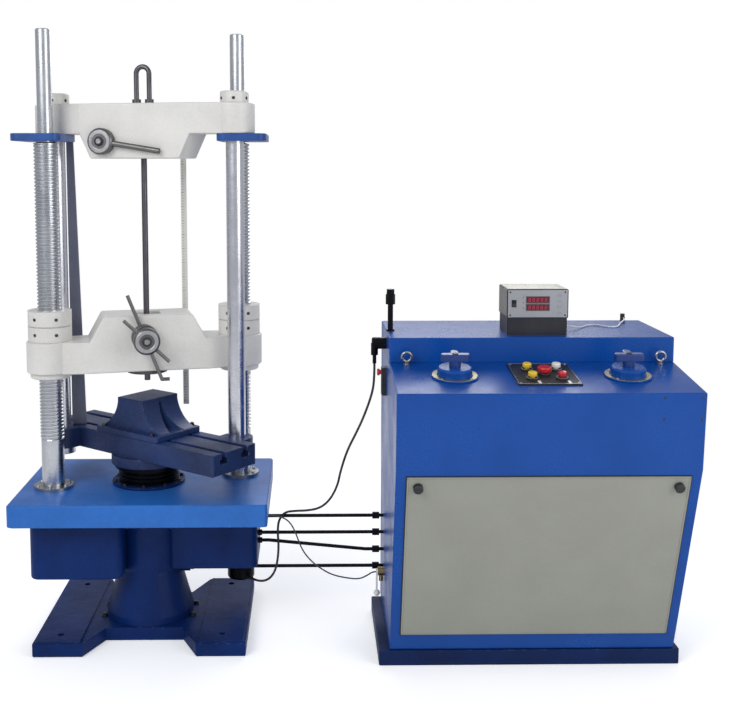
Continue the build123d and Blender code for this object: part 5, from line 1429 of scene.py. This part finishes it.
@dataclass
class Fasteners:
    """All screw heads of the machine, set by set.

    Attributes:
        bearing: Height of the bearings' flanges, and radius of their bolt circle.
        gland: Height of the gland's flange, and radius of its bolt circle.
        foot: Height of the cylinder's foot, and the half-axes of its bolt oval.
        foot_angles: Where the foot's bolts are, in degrees.
        valve: Height of a valve's flange over the desk, and radius of its screw circle.
        plate: The button plate's screws: across, along and over the desk.
        band: The screws on the band under the desk: across, along and over it.
        face: The screws on the indicator's face: across, up and over it.
        block: The bending block's bolts: along, across and over the beam.
        tie_height: Height of the tie plates' underside.
        cap: Height of the screws in the column caps, and radius of a cap.
        cap_angles: Where a cap's screws are, in degrees.
        nut_heights: Heights of the screws in the screw nuts.
        nut_radius: Radius of a screw nut.
        nut_angles: Where a nut's screws are, in degrees.
    """

    bearing: Pair = (527, 54)
    gland: Pair = (524, 115.5)
    foot: Point = (46, 166, 132)
    foot_angles: Sequence[float] = (22, 158, 202, 338)
    valve: Pair = (6.8, 64)
    plate: Sequence[Sequence[float]] = ((-78, 98), (82, 268), (5,))
    band: Sequence[Sequence[float]] = ((336, 450), (-14, -81), (-1.9,))
    face: Sequence[Sequence[float]] = ((-90, 90), (-38, 38), (0,))
    block: Sequence[Sequence[float]] = ((-118, 118), (-96, 96), (712,))
    tie_height: float = 1697
    cap: Pair = (1838, 47.6)
    cap_angles: Sequence[float] = (-150, -90, -30, 90)
    nut_heights: Pair = (1052, 1104)
    nut_radius: float = 72.0
    nut_angles: Sequence[float] = (-120, -60, 30, 150)

    def sets(self) -> List[FastenerSet]:
        """The machine's fastener sets.

        Returns:
            The sets, with their places.
        """
        bearing = [head for x, y in SCREW_PLACES
                   for head in ring(moved(UNIT, x, y, self.bearing[0]), self.bearing[1], count=6, start=30)]
        gland = ring(moved(UNIT, 0, 0, self.gland[0]), self.gland[1], count=10, start=18)
        turns = [math.radians(angle) for angle in self.foot_angles]
        oval = [(self.foot[1] * math.cos(turn), self.foot[2] * math.sin(turn), 0) for turn in turns]
        foot = heads(moved(UNIT, 0, 0, self.foot[0]), oval)
        flanges = [moved(DESK, side * VALVE_X, VALVE_Y, self.valve[0]) for side in SIDES]
        valve = [head for flange in flanges for head in ring(flange, self.valve[1], count=4, start=45)]
        plate, band, face, block = (heads(frame, product(*grid)) for frame, grid in (
            (DESK, self.plate), (BAND, self.band), (FACE, self.face), (BEAM, self.block)))
        under = Matrix.Rotation(math.pi, 4, "X")
        tie = [head for side in SIDES
               for head in heads(moved(UNIT, side * COLUMN_X, 0, self.tie_height) @ under, [(0, 0, 0)])]
        cap = [head for x, y in COLUMN_PLACES
               for head in rim(moved(UNIT, x, y, self.cap[0]), self.cap[1], self.cap_angles)]
        nut = [head for (x, y), height in product(SCREW_PLACES, self.nut_heights)
               for head in rim(moved(UNIT, x, y, height), self.nut_radius, self.nut_angles)]
        return [
            FastenerSet("bearing_flange_bolts", BRIGHT_FASTENER, (6.0, 5.0), bearing),
            FastenerSet("gland_flange_bolts", DARK_FASTENER, (6.5, 6.0), gland),
            FastenerSet("cylinder_foot_bolts", DARK_FASTENER, (10.0, 8.0), foot),
            FastenerSet("valve_flange_screws", BRIGHT_FASTENER, (3.6, 2.2), valve, Body.FRAME, ROUND, 1.25),
            FastenerSet("button_plate_screws", BRIGHT_FASTENER, (3.2, 1.8), plate, Body.FRAME, ROUND, 1.2),
            FastenerSet("band_screws", DARK_FASTENER, (4.2, 2.0), band, Body.FRAME, ROUND, 1.25),
            FastenerSet("display_face_screws", DARK_FASTENER, (2.4, 1.0), face, Body.FRAME, ROUND, 1.2),
            FastenerSet("bending_block_bolts", DARK_FASTENER, (7.5, 8.0), block, Body.RAM_FRAME, washer=1.25),
            FastenerSet("tie_plate_bolts", DARK_FASTENER, (9.0, 7.0), tie, Body.RAM_FRAME),
            FastenerSet("column_cap_screws", DARK_FASTENER, (4.5, 1.6), cap, Body.RAM_FRAME, ROUND, 1.2),
            FastenerSet("screw_nut_screws", DARK_FASTENER, (5.0, 1.8), nut, Body.CROSSHEAD, ROUND, 1.2),
        ]

    def build(self) -> None:
        """Builds every set."""
        for fasteners in self.sets():
            fasteners.build()


@dataclass
class ScaleMarks:
    """Height marks on the pale strip beside the test space.

    Attributes:
        place: Where the strip's face is in the loading unit.
        heights: The marks' heights.
        size: Length, depth and width of a mark.
    """

    place: Pair = (114, 139.9)
    heights: range = range(770, 1640, 10)
    size: Point = (5, 0.6, 1.1)

    def build(self) -> None:
        """Builds the marks as one piece."""
        places = heads(moved(UNIT, *self.place), [(0, 0, height) for height in self.heights])
        labels = ("Mark Length", "Mark Depth", "Mark Width")
        values = {label: side * MM for label, side in zip(labels, self.size)}
        mesh = scale_marks.realise("height_marks", places, {**values, "Material": SLOT_DARK.material()})
        Piece("height_marks", SLOT_DARK, Body.RAM_FRAME).place(mesh)


@dataclass
class IndicatorDisplay:
    """The load indicator's face: red windows with segment digits, keys, lamps and a metal case skin.

    Attributes:
        window: Width and height of one window.
        rows: Heights of the windows' middles from the face's middle.
        margin: How much wider and higher than its window a frame is.
        frame: Width and thickness of a frame's bars.
        digits: How many digits a window holds.
        pitch: Distance from digit to digit.
        glyph: Width and height of a digit.
        stroke: Width of a segment.
        lean: How far a digit's top and bottom lean to the sides.
        film: Thickness of a window and of a segment.
        levels: Heights of the windows', segments', frames' and keys' middles over the face.
        key: Size of a key.
        key_x: Where the keys are across the face.
        key_rows: Heights of the keys.
        lamp: A lamp's profile.
        lamp_x: Where the lamps are across the face.
        lamp_rows: Heights of the lamps.
        case: Width, height and depth of the case's skin.
        case_half: How far its sides and its top are from the face's middle.
        case_middle: How far behind the face its middle is.
        sheet: Its thickness.
    """

    window: Pair = (73.6, 18.6)
    rows: Pair = (12.5, -12.5)
    margin: float = 3
    frame: Pair = (1.6, 1.0)
    digits: int = 5
    pitch: float = 13.4
    glyph: Pair = (7.6, 12.0)
    stroke: float = 1.5
    lean: float = 0.3
    film: float = 0.3
    levels: Sequence[float] = (-0.2, 0.02, 0.3, 0.5)
    key: Point = (15, 9.5, 1.4)
    key_x: float = 72
    key_rows: Sequence[float] = (27, 9, -10, -30)
    lamp: Sequence[Pair] = ((0, 0), (1.9, 0), (1.9, 0.7), (1.2, 1.3), (0, 1.5))
    lamp_x: float = -48
    lamp_rows: Sequence[float] = (21, 3, -14)
    case: Point = (193, 88, 143)
    case_half: Pair = (100.7, 48.2)
    case_middle: float = -76
    sheet: float = 0.8

    def segments(self, x: float, y: float) -> List[Block]:
        """The seven bars of one digit.

        Args:
            x: The digit's middle across the face.
            y: The digit's middle up the face.

        Returns:
            Each bar's frame and size.
        """
        width, height = self.glyph
        flat, tall = width - self.stroke, height / 2 - self.stroke
        level = self.levels[1]
        bars = [(moved(FACE, x, y + row * (height - self.stroke) / 2, level), (flat, self.stroke, self.film))
                for row in (-1, 0, 1)]
        for side, row in product(SIDES, SIDES):
            shift = side * flat / 2 + row * self.lean
            bars.append((moved(FACE, x + shift, y + row * height / 4, level), (self.stroke, tall, self.film)))
        return bars

    def build(self) -> None:
        """Builds the windows, digits, frames, keys, lamps and case skin."""
        pane_level, _, frame_level, key_level = self.levels
        panes = [(moved(FACE, 0, y, pane_level), (*self.window, self.film)) for y in self.rows]
        Piece("display_windows", WINDOW_RED).plates(panes, bevel=0.05)
        columns = [(index - (self.digits - 1) / 2) * self.pitch for index in range(self.digits)]
        bars = [bar for y, x in product(self.rows, columns) for bar in self.segments(x, y)]
        Piece("display_digits", DIGIT_GLOW).plates(bars, bevel=0.06)
        wide, high = (side + self.margin for side in self.window)
        frames = [bar for y in self.rows for bar in border(
            FACE, (0, y, frame_level), (wide / 2, high / 2), (wide, high + self.frame[0]), self.frame)]
        Piece("window_frames", BLACK_PLASTIC).plates(frames, bevel=0.25)
        keys = [(moved(FACE, self.key_x, y, key_level), self.key) for y in self.key_rows]
        Piece("display_keys", KEY_GREY).plates(keys, bevel=0.45)
        lamps = [moved(FACE, self.lamp_x, y) for y in self.lamp_rows]
        Piece("display_lamps", BUTTON_RED).turned(self.lamp, lamps, steps=20)
        width, height, depth = self.case
        across, up, back = *self.case_half, self.case_middle
        sheets = [(moved(FACE, side * across, 0, back), (self.sheet, height, depth)) for side in SIDES]
        sheets.append((moved(FACE, 0, up, back), (width, self.sheet, depth)))
        Piece("indicator_skin", CASE_SILVER).plates(sheets, bevel=0.3)


@dataclass
class ButtonStation:
    """The bright edge of the button plate, the bezel rings and the blank tags.

    Attributes:
        centre: The plate's middle on the desk.
        size: The plate's width and length.
        inset: How far inside the plate the edge's middle line is, and how much shorter its bars are.
        edge: Width and thickness of the edge.
        top: Height of the edge's and the tags' middles over the desk.
        bezel: A bezel ring's profile.
        bezel_height: Height of the rings over the desk.
        buttons: The buttons' places on the desk.
        tagged: Which of them have a tag.
        tag: Size of a tag.
        tag_offset: Where a tag is from its button.
    """

    centre: Pair = (10, 175)
    size: Pair = (196, 206)
    inset: float = 3
    edge: Pair = (2.6, 1.2)
    top: float = 5.5
    bezel: Sequence[Pair] = ((15, 0), (18.6, 0), (18.6, 0.4), (17.6, 0.8), (15, 0.5))
    bezel_height: float = 11
    buttons: Sequence[Pair] = ((-36, 209), (-36, 121), (10, 165), (56, 209), (56, 121))
    tagged: Sequence[int] = (0, 1, 3, 4)
    tag: Point = (9, 26, 1.2)
    tag_offset: Pair = (16, -31)

    def build(self) -> None:
        """Builds the edge, the rings and the tags."""
        lengths = tuple(side - self.inset for side in self.size)
        half = tuple(side / 2 - self.inset for side in self.size)
        bars = border(DESK, (*self.centre, self.top), half, lengths, self.edge)
        Piece("button_plate_edge", BRIGHT_FASTENER).plates(bars, bevel=0.4)
        places = [moved(DESK, x, y, self.bezel_height) for x, y in self.buttons]
        Piece("button_bezel_rings", FACE_SILVER).turned(self.bezel, places, steps=40)
        right, down = self.tag_offset
        spots = [self.buttons[index] for index in self.tagged]
        tags = [(moved(DESK, x + right, y + down, self.top), self.tag) for x, y in spots]
        Piece("button_tags", BUTTON_WHITE).plates(tags, bevel=0.35)


@dataclass
class ValveTrim:
    """The pale rings on the valve flanges and the caps on the valve knobs.

    Attributes:
        flange: A ring's profile.
        flange_height: Height of the rings over the desk.
        cap: A cap's profile.
        cap_height: Height of the caps over the desk.
    """

    flange: Sequence[Pair] = ((56, 0), (71, 0), (71, 0.5), (70.4, 0.8), (56.6, 0.8), (56, 0.5))
    flange_height: float = 6
    cap: Sequence[Pair] = ((0, 0), (9.5, 0), (9.5, 1.6), (8, 2.6), (3, 2.8), (2.4, 1.8), (0, 1.8))
    cap_height: float = 74

    def build(self) -> None:
        """Builds the rings on the frame and a cap on each knob."""
        places = [moved(DESK, side * VALVE_X, VALVE_Y, self.flange_height) for side in SIDES]
        Piece("valve_flange_rings", RING_PALE).turned(self.flange, places, steps=56)
        for side, body in zip(SIDES, (Body.VALVE_LEFT, Body.VALVE_RIGHT)):
            top = moved(DESK, side * VALVE_X, VALVE_Y, self.cap_height)
            Piece(body.value + "_cap", DARK_FASTENER, body).turned(self.cap, [top], steps=32)


@dataclass
class HandleHubs:
    """The faced rim, the nut and the spindle's end on each jaw handle's hub.

    Attributes:
        rim: A rim's profile.
        nut: Radius and height of a nut.
        spindle: A spindle end's profile.
        spindle_start: How far over the hub's face it starts.
        upper: Where the upper hub's face is in the upper crosshead's frame.
        lower: Where the lower hub's face is in the lower crosshead's frame.
    """

    rim: Sequence[Pair] = ((25, 0), (38, 0), (38, 1.2), (36.5, 2.2), (26.5, 2.2), (25, 1.2))
    nut: Pair = (13, 6)
    spindle: Sequence[Pair] = ((0, 0), (9, 0), (9, 6), (7.5, 7.5), (0, 7.5))
    spindle_start: float = 1.5
    upper: Point = (-110, -118.3, 1696)
    lower: Point = (-15, -191.3, 1038)

    def build(self) -> None:
        """Builds the three pieces on each handle."""
        toward = Matrix.Rotation(UPRIGHT, 4, "X")
        for body, place in ((Body.UPPER_HANDLE, moved(UPPER, *self.upper)),
                            (Body.LOWER_HANDLE, moved(LOWER, *self.lower))):
            hub = place @ toward
            Piece(body.value + "_rim", BRIGHT_FASTENER, body).turned(self.rim, [hub], steps=48)
            FastenerSet(body.value + "_nut", DARK_FASTENER, self.nut, heads(hub, [(0, 0, 0)]), body).build()
            start = moved(hub, 0, 0, self.spindle_start)
            Piece(body.value + "_spindle_end", TURNED_STEEL, body).turned(self.spindle, [start], steps=28)


@dataclass
class PanelTrim:
    """The service panel's painted shadow gap, a dark strip round its edge, and its folded lip.

    Attributes:
        half: Half the panel's width.
        rows: Where the panel starts and ends up the sloped front.
        shadow_gap: Width and thickness of the dark strip that paints the shadow in the gap round the panel.
        shadow_gap_level: Height of its middle over the sloped front.
        shadow_gap_out: How far outside the panel's edge its middle line is.
        shadow_gap_past: How much longer than the panel its upright bars are.
        lip: Width and thickness of the lip.
        lip_level: Height of its middle over the sloped front.
        lip_in: How far inside the panel's edge its middle line is.
        lip_short: How much shorter than the panel its bars are.
    """

    half: float = 429.0
    rows: Pair = (66.0, 666.0)
    shadow_gap: Pair = (3, 1.8)
    shadow_gap_level: float = 0.9
    shadow_gap_out: float = 1.6
    shadow_gap_past: float = 6
    lip: Pair = (5, 1.4)
    lip_level: float = 4.3
    lip_in: float = 2.6
    lip_short: float = 0.4

    def build(self) -> None:
        """Builds the painted shadow gap and the lip."""
        middle, tall, wide = sum(self.rows) / 2, self.rows[1] - self.rows[0], 2 * self.half
        out, into = ((self.half + away, tall / 2 + away) for away in (self.shadow_gap_out, -self.lip_in))
        longer = (wide, tall + self.shadow_gap_past)
        # A near-black strip round the panel's edge: painted shadow in the gap between panel and cabinet.
        shadow_gap = border(KNEE, (0, middle, self.shadow_gap_level), out, longer, self.shadow_gap)
        Piece("panel_shadow_gap", SLOT_DARK).plates(shadow_gap, bevel=0.5)
        shorter = (wide - self.lip_short, tall - self.lip_short)
        lip = border(KNEE, (0, middle, self.lip_level), into, shorter, self.lip)
        Piece("panel_lip", PANEL_CREAM).plates(lip, bevel=0.5)


@dataclass
class Studio:
    """The floor, the light and the camera.

    Attributes:
        eye: Where the camera stands, in metres.
        pitch: How far it looks down, in degrees.
        yaw: How far it looks to the right, in degrees.
        lens: Its focal length.
        sensor: Its sensor's width.
        shift: Its shift across and up.
        shadow: How far from the middle the floor starts and ends to fade, in metres.
        lift: How much light the floor adds towards the camera.
        reach: How far the floor goes to each side, in metres.
        drop: How far it is under the machine, in metres.
    """

    eye: Point = (-0.1041, -3.5499, 1.6235)
    pitch: float = 5.5
    yaw: float = 0.836
    lens: float = 51.853
    sensor: float = 36
    shift: Pair = (0.0605, -0.1255)
    shadow: Pair = (1.3, 2.6)
    lift: float = 0.32
    reach: float = 30
    drop: float = 0.0005

    def build(self) -> None:
        """Sets the camera, the lights, the world and the floor."""
        self.camera()
        self.world()
        self.floor()
        self.lamp("key_light", (-2.6, -3.4, 3.6), (-0.1, 0, 0.8), 2.6, 105)
        self.lamp("fill_light", (3.2, -2.8, 2.2), (0.2, 0, 0.8), 2.6, 55)
        self.lamp("back_light", (0.6, 3.2, 3.2), (-0.2, 0, 1.0), 2.4, 60)

    def camera(self) -> None:
        """Adds the camera at the photograph's viewing angle."""
        data = bpy.data.cameras.new("photo_camera")
        data.lens = self.lens
        data.sensor_width = self.sensor
        data.sensor_fit = "HORIZONTAL"
        data.shift_x, data.shift_y = self.shift
        camera = linked("photo_camera", data)
        camera.location = self.eye
        camera.rotation_euler = (math.radians(90 - self.pitch), 0, math.radians(-self.yaw))
        bpy.context.scene.camera = camera

    @staticmethod
    def world() -> None:
        """A pale, even world that the camera sees as white."""
        scene = bpy.context.scene
        scene.view_settings.view_transform = "Standard"
        world = bpy.data.worlds.new("studio_world")
        world.use_nodes = True
        world.node_tree.nodes.clear()
        graph = Graph(world.node_tree)
        path = graph.add("ShaderNodeLightPath").outputs
        seen = graph.maths("MAXIMUM", path["Is Camera Ray"], path["Is Transmission Ray"])
        soft = graph.add("ShaderNodeBackground", {"Color": (0.9, 0.93, 1.0, 1), "Strength": 0.55})
        white = graph.add("ShaderNodeBackground", {"Color": (1, 1, 1, 1), "Strength": 1.0})
        mix = graph.add("ShaderNodeMixShader", {0: seen, 1: soft.outputs[0], 2: white.outputs[0]})
        graph.add("ShaderNodeOutputWorld", {"Surface": mix.outputs[0]})
        scene.world = world

    def floor(self) -> None:
        """A wide pale floor that keeps the machine's shadow."""
        form = bmesh.new()
        bmesh.ops.create_grid(form, x_segments=1, y_segments=1, size=self.reach)
        floor = linked("studio_floor", to_mesh(form, "studio_floor"))
        floor.location.z = -self.drop
        material = bpy.data.materials.new("studio_floor")
        material.use_nodes = True
        material.node_tree.nodes.clear()
        graph = Graph(material.node_tree)
        place = graph.add("ShaderNodeTexCoord").outputs["Object"]
        away = graph.add("ShaderNodeVectorMath", {0: place}, operation="LENGTH").outputs["Value"]
        path = graph.add("ShaderNodeLightPath").outputs["Is Camera Ray"]
        lit = graph.add("ShaderNodeBsdfDiffuse", {"Color": (0.93, 0.93, 0.93, 1)}).outputs[0]
        light = {"Color": (1, 1, 1, 1), "Strength": graph.maths("MULTIPLY", path, self.lift)}
        lift = graph.add("ShaderNodeEmission", light).outputs[0]
        near = graph.add("ShaderNodeAddShader", {0: lit, 1: lift})
        clear = graph.add("ShaderNodeBsdfTransparent").outputs[0]
        hidden = graph.maths("MULTIPLY", graph.ramp(away, *self.shadow), path)
        mixed = graph.add("ShaderNodeMixShader", {0: hidden, 1: near.outputs[0], 2: clear}).outputs[0]
        graph.add("ShaderNodeOutputMaterial", {"Surface": mixed})
        floor.data.materials.append(material)

    @staticmethod
    def lamp(name: str, place: Point, aim: Point, size: float, power: float) -> None:
        """Adds a soft area lamp.

        Args:
            name: Its name.
            place: Where it hangs, in metres.
            aim: What it points at, in metres.
            size: Its side, in metres.
            power: Its power, in watts.
        """
        data = bpy.data.lights.new(name, "AREA")
        data.shape = "SQUARE"
        data.size = size
        data.energy = power
        lamp = linked(name, data)
        lamp.location = place
        lamp.rotation_euler = (Vector(aim) - Vector(place)).to_track_quat("-Z", "Y").to_euler()


SIGNAL_ROUTE: List[Point] = [
    (112.5, 5.669, 951), (112.5, 5.669, 905), (107.5, 13.669, 850), (79.5, 27.669, 764), (52.5, 36.669, 702),
    (21.5, 47.669, 637), (-1.5, 62.669, 556), (-9.5, 72.669, 508), (-35.5, 86.669, 452), (-69.5, 98.669, 419),
    (-111.5, 104.669, 408), (-156.5, 104.669, 407), (-194.5, 98.669, 405), (-215.5, 84.669, 381),
    (-219.5, 81.669, 340), (-215.5, 80.669, 290), (-219.5, 81.669, 236), (-230.5, 83.669, 191),
    (-255.577, 93.362, 159), (-292.912, 109.611, 150), (-314.577, 138.362, 150),
]
MOTOR_ROUTE: List[Point] = [
    (-268.5, 72.669, 402), (-239.5, 72.669, 402), (-208.5, 68.669, 399), (-180.5, 64.669, 385),
    (-161.5, 63.669, 356), (-147.5, 62.669, 318), (-131.5, 61.669, 278), (-104.5, 61.669, 243),
    (-69.5, 61.669, 214), (-28.5, 62.669, 190), (22.5, 63.669, 178), (66.5, 65.669, 173), (95.5, 70.669, 185),
    (113.5, 72.669, 197), (131.5, 72.669, 197),
]
LEAD_ROUTE: List[Point] = [
    (759, 8.669, 1075.5), (779, 8.669, 1075.5), (800, 23.669, 1069.5), (831, 61.669, 1065.5),
    (855, 96.669, 1065.5), (878, 107.669, 1065.5), (899, 88.669, 1065.5), (913, 64.669, 1065.5),
    (933, 54.669, 1065.5), (952, 65.669, 1065.5), (969.5, 104.669, 1065.5), (978.5, 132.669, 1065.5),
    (994.5, 160.669, 1067.5), (1011.5, 182.669, 1074.5), (1011.5, 200.669, 1074.5),
]
CABLES: List[CableRun] = [
    CableRun("signal_cable", SIGNAL_ROUTE, 8, 1047, CABLE_BLACK),
    CableRun("motor_cable", MOTOR_ROUTE, 5, 512, CABLE_GREY),
    CableRun("indicator_lead", LEAD_ROUTE, 5, 407, CABLE_WHITE, "limp"),
]
ROUNDED: List[RoundedCasting] = [
    RoundedCasting("base_casting", Body.FRAME, 7.0, False),
    RoundedCasting("drive_housing", Body.FRAME, 8.0, False),
    RoundedCasting("table_plate", Body.FRAME, 4.0, False),
    RoundedCasting("console_cabinet", Body.FRAME, 5.0),
    RoundedCasting("raised_box", Body.FRAME, 4.0),
    RoundedCasting("console_plinth", Body.FRAME, 3.0),
    RoundedCasting("upper_crosshead", Body.RAM_FRAME, 6.0, False),
    RoundedCasting("lower_crosshead", Body.CROSSHEAD, 6.0, False),
    RoundedCasting("lower_table", Body.RAM_FRAME, 3.0, False),
    RoundedCasting("bending_block", Body.RAM_FRAME, 3.0),
    RoundedCasting("tie_plates", Body.RAM_FRAME, 3.0),
]


def main() -> None:
    """Builds the machine's finishes and details in order."""
    logging.basicConfig(level=logging.INFO, format="%(message)s")
    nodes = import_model()["nodes"]
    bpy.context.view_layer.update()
    for name, finish in NODE_FINISHES.items():
        nodes[name].data.materials.clear()
        nodes[name].data.materials.append(finish.material())
    Studio().build()
    for casting in ROUNDED:
        casting.build(nodes)
    for screw in (Body.FRONT_SCREW, Body.REAR_SCREW):
        LeadScrew(screw).build()
    for cable in CABLES:
        cable.build()
    for trim in (Fasteners, ScaleMarks, IndicatorDisplay, ButtonStation, ValveTrim, HandleHubs, PanelTrim):
        trim().build()


if __name__ == "__main__":
    main()
